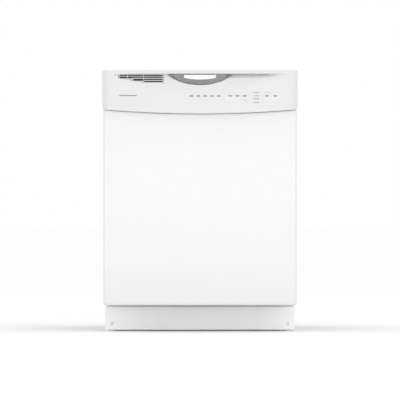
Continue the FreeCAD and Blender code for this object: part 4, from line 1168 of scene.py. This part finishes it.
class DISHWASHER_OT_door_hardware(bpy.types.Operator):
    """Hinge arms, latch housing, control board and strike"""
    bl_idname = "dishwasher.door_hardware"
    bl_label = "Door hardware"

    def execute(self, context):
        steel = galvanised("hinge_zinc", (0.60, 0.61, 0.62))
        softened("hinge_arms", steel, 0.0005, 2)
        softened("hinge_brackets", steel, 0.0005, 2)
        softened("mounting_brackets", steel, 0.0004, 2)
        softened("latch_housing", matte_plastic("latch_plastic", (0.12, 0.12, 0.13)), 0.0012, 2)
        softened("door_strike", drawn_metal("strike_metal", (0.6, 0.6, 0.6)), 0.0008, 2)
        softened("control_board", circuit("board_mask", (0.06, 0.22, 0.10)), 0.0002, 1)
        return {"FINISHED"}


# ---- tub ------------------------------------------------------------------
class DISHWASHER_OT_tub(bpy.types.Operator):
    """Moulded tub, its front frame and the door gasket"""
    bl_idname = "dishwasher.tub"
    bl_label = "Tub"

    def execute(self, context):
        softened("tub", gloss_plastic("tub_moulding", tuple(inside().tub), 0.42), 0.0012, 2, 40.0)
        softened("front_frame", enamel("frame_paint", (0.62, 0.63, 0.64), 0.35), 0.0015, 3)
        low, high = span("door_gasket")
        inner = high[0] - 0.0055
        y = (low[1] + high[1]) / 2
        path = [(-inner, y, low[2] + 0.001), (-inner, y, high[2] - 0.0055), (inner, y, high[2] - 0.0055),
                (inner, y, low[2] + 0.001)]
        bead = bent_path(path, 0.012, 8)
        bead = np.concatenate([np.linspace(bead[0], bead[1], 30)[:-1], bead[1:-1],
                               np.linspace(bead[-2], bead[-1], 30)[1:]])
        wide, deep = 0.0052, (high[1] - low[1]) / 2 - 0.0001
        angle = np.linspace(0, 2 * np.pi, 25)[:-1]
        profile = np.stack([wide * np.sign(np.cos(angle)) * np.abs(np.cos(angle)) ** 0.6,
                            deep * (np.sin(angle) + 0.28 * np.cos(3 * angle)) / 1.28], 1)
        shape = swept_shape(bead, profile, (0, 1, 0))
        bundle = Bundle()
        bundle.add(*shape)
        placed(bundle.piece("gasket_bead"), "cabinet", "gasket_rubber",
               rubber("gasket_rubber_finish", (0.16, 0.165, 0.17)), "door_gasket")
        return {"FINISHED"}


def swept_shape(path, profile, reference):
    """A profile (u, v) carried along a path: point = path + u N + v B, with B the reference made square to
    the path and N = B x T; the ends are closed by fans."""
    tangent = unit(np.gradient(path, axis=0))
    b = np.broadcast_to(np.asarray(reference, float), path.shape)
    b = unit(b - (b * tangent).sum(1, keepdims=True) * tangent)
    n = np.cross(b, tangent)
    rings = (path[:, None] + profile[None, :, :1] * n[:, None] + profile[None, :, 1:] * b[:, None])
    count = len(profile)
    points = np.concatenate([rings.reshape(-1, 3), path[:1], path[-1:]])
    j = np.arange(count)
    k = (j + 1) % count
    top = (len(path) - 1) * count
    pole = np.full(count, len(points) - 2)
    caps = np.concatenate([np.stack([pole, k, j], 1), np.stack([pole + 1, j + top, k + top], 1)])
    return points, [grid_quads(len(path), count, False, True), caps]


class DISHWASHER_OT_blanket(bpy.types.Operator):
    """Felt blanket laid over the tub, quilted by its rows of ties"""
    bl_idname = "dishwasher.blanket"
    bl_label = "Insulation blanket"

    def execute(self, context):
        low, high = span("insulation_blanket")
        thick = 0.0100
        mid = thick / 2
        x, z0, z1 = high[0] - mid, low[2], high[2] - mid
        corner = 0.012
        path = bent_path([(-x, 0, z0), (-x, 0, z1), (x, 0, z1), (x, 0, z0)], corner, 8)
        path = np.concatenate([np.linspace(path[0], path[1], 40)[:-1], path[1:9],
                               np.linspace(path[8], path[9], 34)[1:-1], path[9:-1],
                               np.linspace(path[-2], path[-1], 40)[1:]])
        tangent = unit(np.gradient(path, axis=0))
        out = np.stack([-tangent[:, 2], 0 * tangent[:, 0], tangent[:, 0]], 1)
        s = np.concatenate([[0], np.cumsum(np.linalg.norm(np.diff(path, axis=0), axis=1))])
        ys = np.linspace(low[1] + 0.001, high[1] - 0.001, 56)
        edge = np.minimum(np.minimum(s[:, None], s[-1] - s[:, None]),
                          np.minimum(ys[None, :] - ys[0], ys[-1] - ys[None, :]))
        puff = 0.55 + 0.45 * np.abs(np.sin(np.pi * s[:, None] / 0.150)) ** 0.5 * \
            np.abs(np.sin(np.pi * (ys[None, :] - ys[0]) / 0.1225)) ** 0.5
        fall = np.sqrt(np.clip(edge / 0.006, 0, 1))
        outer = mid * (0.30 + 0.68 * puff * fall)
        inner = -mid * (0.30 + 0.66 * fall)
        grid = lambda offset: (path[:, None, :] + out[:, None, :] * offset[..., None]
                               + np.array([0, 1.0, 0]) * ys[None, :, None])
        rows, columns = outer.shape
        a, b = grid(outer).reshape(-1, 3), grid(inner + 0 * outer).reshape(-1, 3)
        index = np.arange(rows * columns).reshape(rows, columns)
        rim = np.concatenate([index[0, :-1], index[:-1, -1], index[-1, :0:-1], index[:0:-1, 0]])
        nxt = np.roll(rim, -1)
        total = rows * columns
        wall = np.stack([rim, nxt, nxt + total, rim + total], 1)
        piece = build("blanket_felt", np.concatenate([a, b]),
                      [grid_quads(rows, columns), grid_quads(rows, columns)[:, ::-1] + total, wall], 60.0)
        placed(piece, "cabinet", "blanket_felt", felt("blanket_felt_finish", (0.085, 0.085, 0.09)),
               "insulation_blanket")
        return {"FINISHED"}


# ---- wash system ----------------------------------------------------------
def spray_arm(node, hub_radius, nozzles, sweep):
    """Aerofoil arm: at each station along X a closed section whose width tapers, lifts and twists towards
    the tips; a domed hub and raised nozzles sit on it."""
    low, high = span(node)
    centre = (low + high) / 2
    reach = high[0] - 0.001
    z_low, z_high = sweep
    half_thick = (z_high - z_low) / 2
    mid = (z_high + z_low) / 2
    u = np.linspace(-1, 1, 61)
    shape = np.sqrt(np.clip(1 - np.abs(u) ** 7, 0.0, 1))
    width = 0.0205 * (1 - 0.42 * np.abs(u) ** 1.3) * np.maximum(shape, 0.02)
    thick = half_thick * (1 - 0.30 * np.abs(u)) * np.maximum(shape, 0.02) * 0.96
    twist = 0.10 * np.sign(u) * np.abs(u)
    angle = np.linspace(0, 2 * np.pi, 25)[:-1]
    py = width[:, None] * np.sign(np.cos(angle)) * np.abs(np.cos(angle)) ** 0.8
    pz = thick[:, None] * np.sin(angle)
    y = py * np.cos(twist)[:, None] - pz * np.sin(twist)[:, None]
    z = pz * np.cos(twist)[:, None] + py * 0.28 * np.sin(twist)[:, None]
    rings = np.stack([np.broadcast_to(reach * u[:, None], y.shape), centre[1] + y, mid + z], -1)
    j = np.arange(24)
    k = (j + 1) % 24
    count = rings.shape[0] * 24
    caps = np.concatenate([np.stack([np.full(24, count), k, j], 1),
                           np.stack([np.full(24, count + 1), count - 24 + j, count - 24 + k], 1)])
    ends = np.array([[-reach, centre[1], mid], [reach, centre[1], mid]])
    bundle = Bundle()
    bundle.add(np.concatenate([rings.reshape(-1, 3), ends]), [grid_quads(61, 24, False, True), caps])
    hub_low, hub_high = low[2] - mid, high[2] - mid
    profile = [(0, hub_high - 0.0002), (hub_radius * 0.55, hub_high - 0.0004),
               (hub_radius * 0.86, hub_high - 0.0022), (hub_radius, hub_high - 0.0065), (hub_radius, hub_low + 0.003), (hub_radius - 0.002, hub_low),
               (0, hub_low)]
    bundle.add(*turned_shape(profile, (0, centre[1], mid), (0, 0, 1), 40))
    for x, dy in nozzles:
        lift = half_thick * (1 - 0.30 * abs(x) / reach) * 0.96
        jet = [(0, lift + 0.0006), (0.0012, lift + 0.0006), (0.0018, lift + 0.0014), (0.0034, lift + 0.0012),
               (0.0050, lift - 0.0026), (0, lift - 0.0030)]
        bundle.add(*turned_shape(jet, (x, centre[1] + dy, mid - 0.0010), (0, 0, 1), 14))
    return bundle.piece(node + "_moulding", 45.0)


class DISHWASHER_OT_spray_arms(bpy.types.Operator):
    """Lower and upper spray arms with their nozzles"""
    bl_idname = "dishwasher.spray_arms"
    bl_label = "Spray arms"

    def execute(self, context):
        grey = gloss_plastic("arm_plastic", (0.42, 0.44, 0.46), 0.34)
        low, high = span("lower_spray_arm")
        marks = [(s * x, s * dy) for s in (-1, 1) for x, dy in
                 ((0.055, 0.006), (0.095, -0.007), (0.135, 0.005), (0.175, -0.004), (0.215, 0.002))]
        placed(spray_arm("lower_spray_arm", 0.0249, marks, (low[2] + 0.003, high[2] - 0.002)),
               "lower_spray_arm", "arm_grey", grey, "lower_spray_arm")
        low, high = span("upper_spray_arm")
        marks = [(s * x, s * dy) for s in (-1, 1) for x, dy in
                 ((0.050, 0.005), (0.090, -0.006), (0.130, 0.004), (0.185, -0.002))]
        placed(spray_arm("upper_spray_arm", 0.0249, marks, (low[2] + 0.001, high[2] - 0.002)),
               "upper_spray_arm", "arm_grey", grey, "upper_spray_arm")
        softened("top_spray_head", grey, 0.0010, 2)
        softened("feed_tube", grey, 0.0008, 2)
        return {"FINISHED"}


class DISHWASHER_OT_sump(bpy.types.Operator):
    """Sump, perforated filter plate, filter cup, heater and float"""
    bl_idname = "dishwasher.sump"
    bl_label = "Sump and filter"

    def execute(self, context):
        softened("sump", matte_plastic("sump_plastic_finish", (0.10, 0.10, 0.11)), 0.0012, 2)
        steel = drawn_metal("filter_steel", (0.55, 0.56, 0.57), (1.0, 1.0, 1.0), 0.35)
        softened("filter_plate", steel, 0.0004, 2)
        softened("filter_cup", matte_plastic("filter_plastic", (0.30, 0.31, 0.33), 0.4), 0.0008, 2)
        low, high = span("heating_element")
        radius = 0.0032
        cy, ring = 0.030, 0.190
        z = low[2] + 0.0098 + radius
        z = float(high[2]) - radius
        turn = np.linspace(0, 2 * np.pi, 97)[:-1]
        path = np.stack([ring * np.sin(turn), cy - ring * np.cos(turn), np.full(96, z)], 1)
        coil = Bundle()
        coil.add(*tube_shape(path, radius, (0, 0, 1), 12, True))
        for side in (-1, 1):
            foot = [(side * 0.014, cy + ring - 0.001, z), (side * 0.014, cy + ring - 0.001, low[2] + 0.0006)]
            coil.add(*tube_shape(np.linspace(foot[0], foot[1], 4), radius * 0.98, (1, 0, 0), 12))
            nut = [(radius, 0.0), (0.0065, 0.0), (0.0065, 0.0035), (radius, 0.0045)]
            coil.add(*turned_shape(nut, (side * 0.014, cy + ring - 0.001, low[2] + 0.0003), (0, 0, 1), 6))
        placed(coil.piece("heater_coil"), "cabinet", "heater_metal",
               heat_tinted("heater_sheath", (0.34, 0.33, 0.32)), "heating_element")
        low, high = span("float_dome")
        x, y, r = (low[0] + high[0]) / 2, (low[1] + high[1]) / 2, (high[0] - low[0]) / 2
        top, foot = high[2], low[2]
        skirt = top - 0.030
        dome = [(0, top - 0.0001), (r * 0.45, top - 0.0012), (r * 0.78, top - 0.0048),
                (r * 0.95, top - 0.0105), (r - 0.0001, top - 0.017), (r - 0.0001, skirt + 0.001),
                (r - 0.001, skirt + 0.0002), (0.0049, skirt + 0.0002),
                (0.0049, foot + 0.001), (0.004, foot + 0.0001), (0, foot + 0.0001)]
        bundle = Bundle()
        bundle.add(*turned_shape(dome, (x, y, 0), (0, 0, 1), 40))
        placed(bundle.piece("float_cap"), "float_dome", SLOT_OF["float_dome"],
               gloss_plastic("float_plastic", (0.66, 0.67, 0.68), 0.38), "float_dome")
        return {"FINISHED"}


class DISHWASHER_OT_machinery(bpy.types.Operator):
    """Pumps, valve and junction box"""
    bl_idname = "dishwasher.machinery"
    bl_label = "Machinery"

    def execute(self, context):
        black = matte_plastic("pump_plastic_finish", (0.07, 0.07, 0.075))
        softened("wash_pump_motor", black, 0.0015, 3)
        softened("wash_impeller", gloss_plastic("impeller_plastic", (0.5, 0.5, 0.48)), 0.0006, 2)
        softened("drain_pump", black, 0.0012, 2)
        softened("inlet_valve", gloss_plastic("valve_plastic", (0.68, 0.68, 0.66), 0.36), 0.0012, 2)
        softened("junction_box", galvanised("box_zinc", (0.55, 0.56, 0.57)), 0.0006, 2)
        return {"FINISHED"}


# ---- base -----------------------------------------------------------------
class DISHWASHER_OT_base(bpy.types.Operator):
    """Base frame, levelling legs and door springs"""
    bl_idname = "dishwasher.base"
    bl_label = "Base"

    def execute(self, context):
        softened("base_frame", galvanised("base_zinc", (0.50, 0.51, 0.52)), 0.0010, 2, 40.0)
        zinc = drawn_metal("stud_zinc", (0.55, 0.55, 0.56))
        for node in ("leveling_leg_front_left", "leveling_leg_front_right", "leveling_leg_rear_left",
                     "leveling_leg_rear_right"):
            low, high = span(node)
            x, y, r = (low[0] + high[0]) / 2, (low[1] + high[1]) / 2, (high[0] - low[0]) / 2
            foot = [(0, 0.0001), (r - 0.002, 0.0001), (r, 0.0018), (r, 0.0045), (r - 0.0025, 0.0068),
                    (0.009, 0.0078), (0.0085, 0.0079), (0, 0.0079)]
            leg = Bundle()
            leg.add(*turned_shape(foot, (x, y, 0), (0, 0, 1), 36))
            z0, z1, pitch = 0.0074, float(high[2]) - 0.0012, 0.00175
            turns = int((z1 - z0) / pitch)
            zs = z0 + pitch * np.repeat(np.arange(turns), 2) + np.tile([0.0, pitch * 0.5], turns)
            rs = np.tile([0.0043, 0.00495], turns)
            stem = [(0, z0 - 0.0005)] + list(zip(rs, zs)) + [(0.0038, z1 + 0.0008), (0, z1 + 0.001)]
            leg.add(*turned_shape(stem, (x, y, 0), (0, 0, 1), 16))
            placed(leg.piece(node + "_stud"), frame["nodes"][node]["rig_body"], SLOT_OF[node], zinc, node)
        low, high = span("door_springs")
        wire = 0.0013
        z = (low[2] + high[2]) / 2
        coil = Bundle()
        for side in (-1, 1):
            x = side * (high[0] - 0.008)
            turns, n = 52, 52 * 12
            t = np.linspace(0, 1, n)
            r = 0.0066
            y = low[1] + 0.012 + (high[1] - low[1] - 0.024) * t
            angle = 2 * np.pi * turns * t
            path = np.stack([x + r * np.sin(angle), y, z + r * np.cos(angle)], 1)
            lead = np.array([[x, low[1] + 0.0016, z], [x, low[1] + 0.006, z + 0.003]])
            tail = np.array([[x, high[1] - 0.006, z + 0.003], [x, high[1] - 0.0016, z]])
            coil.add(*tube_shape(np.concatenate([lead, path, tail]), wire, (1, 0, 0), 6))
        placed(coil.piece("spring_coils"), "cabinet", "spring_steel",
               drawn_metal("spring_wire", (0.36, 0.36, 0.37)), "door_springs")
        return {"FINISHED"}


class DISHWASHER_OT_rails(bpy.types.Operator):
    """Rack rails fixed to the tub and the slide rails that run in them"""
    bl_idname = "dishwasher.rails"
    bl_label = "Rails"

    def execute(self, context):
        rail = drawn_metal("rail_metal", (0.58, 0.59, 0.60), (60.0, 1.0, 60.0))
        softened("rack_rails", rail, 0.0005, 2)
        softened("upper_slide_rails", rail, 0.0004, 2)
        return {"FINISHED"}


STEPS = (DISHWASHER_OT_stage, DISHWASHER_OT_control_panel, DISHWASHER_OT_vent, DISHWASHER_OT_keys,
         DISHWASHER_OT_lamps, DISHWASHER_OT_latch_tab, DISHWASHER_OT_door_panel, DISHWASHER_OT_toe_kick,
         DISHWASHER_OT_door_liner, DISHWASHER_OT_door_hardware, DISHWASHER_OT_tub, DISHWASHER_OT_blanket,
         DISHWASHER_OT_racks, DISHWASHER_OT_wheels, DISHWASHER_OT_basket, DISHWASHER_OT_rails,
         DISHWASHER_OT_spray_arms, DISHWASHER_OT_sump, DISHWASHER_OT_machinery, DISHWASHER_OT_base)


class DISHWASHER_PT_panel(bpy.types.Panel):
    """Lists the pieces of the dishwasher"""
    bl_idname = "DISHWASHER_PT_panel"
    bl_label = "Dishwasher"
    bl_space_type = "VIEW_3D"
    bl_region_type = "UI"
    bl_category = "Dishwasher"

    def draw(self, context):
        for group in (context.scene.dishwasher_front, context.scene.dishwasher_inside,
                      context.scene.dishwasher_stage):
            for name in group.__annotations__:
                self.layout.prop(group, name)
        for step in STEPS:
            self.layout.operator(step.bl_idname)


GROUPS = {"dishwasher_front": DishwasherFront, "dishwasher_inside": DishwasherInside,
          "dishwasher_stage": DishwasherStage}


def register():
    for kind in list(GROUPS.values()) + list(STEPS) + [DISHWASHER_PT_panel]:
        bpy.utils.register_class(kind)
    for name, kind in GROUPS.items():
        setattr(bpy.types.Scene, name, bpy.props.PointerProperty(type=kind))


def unregister():
    for name in GROUPS:
        delattr(bpy.types.Scene, name)
    for kind in [DISHWASHER_PT_panel] + list(STEPS)[::-1] + list(GROUPS.values())[::-1]:
        bpy.utils.unregister_class(kind)


def main():
    register()
    for step in STEPS:
        area, name = step.bl_idname.split(".")
        if "FINISHED" not in getattr(getattr(bpy.ops, area), name)():
            raise RuntimeError(step.bl_label + " did not finish")


if __name__ == "__main__":
    main()
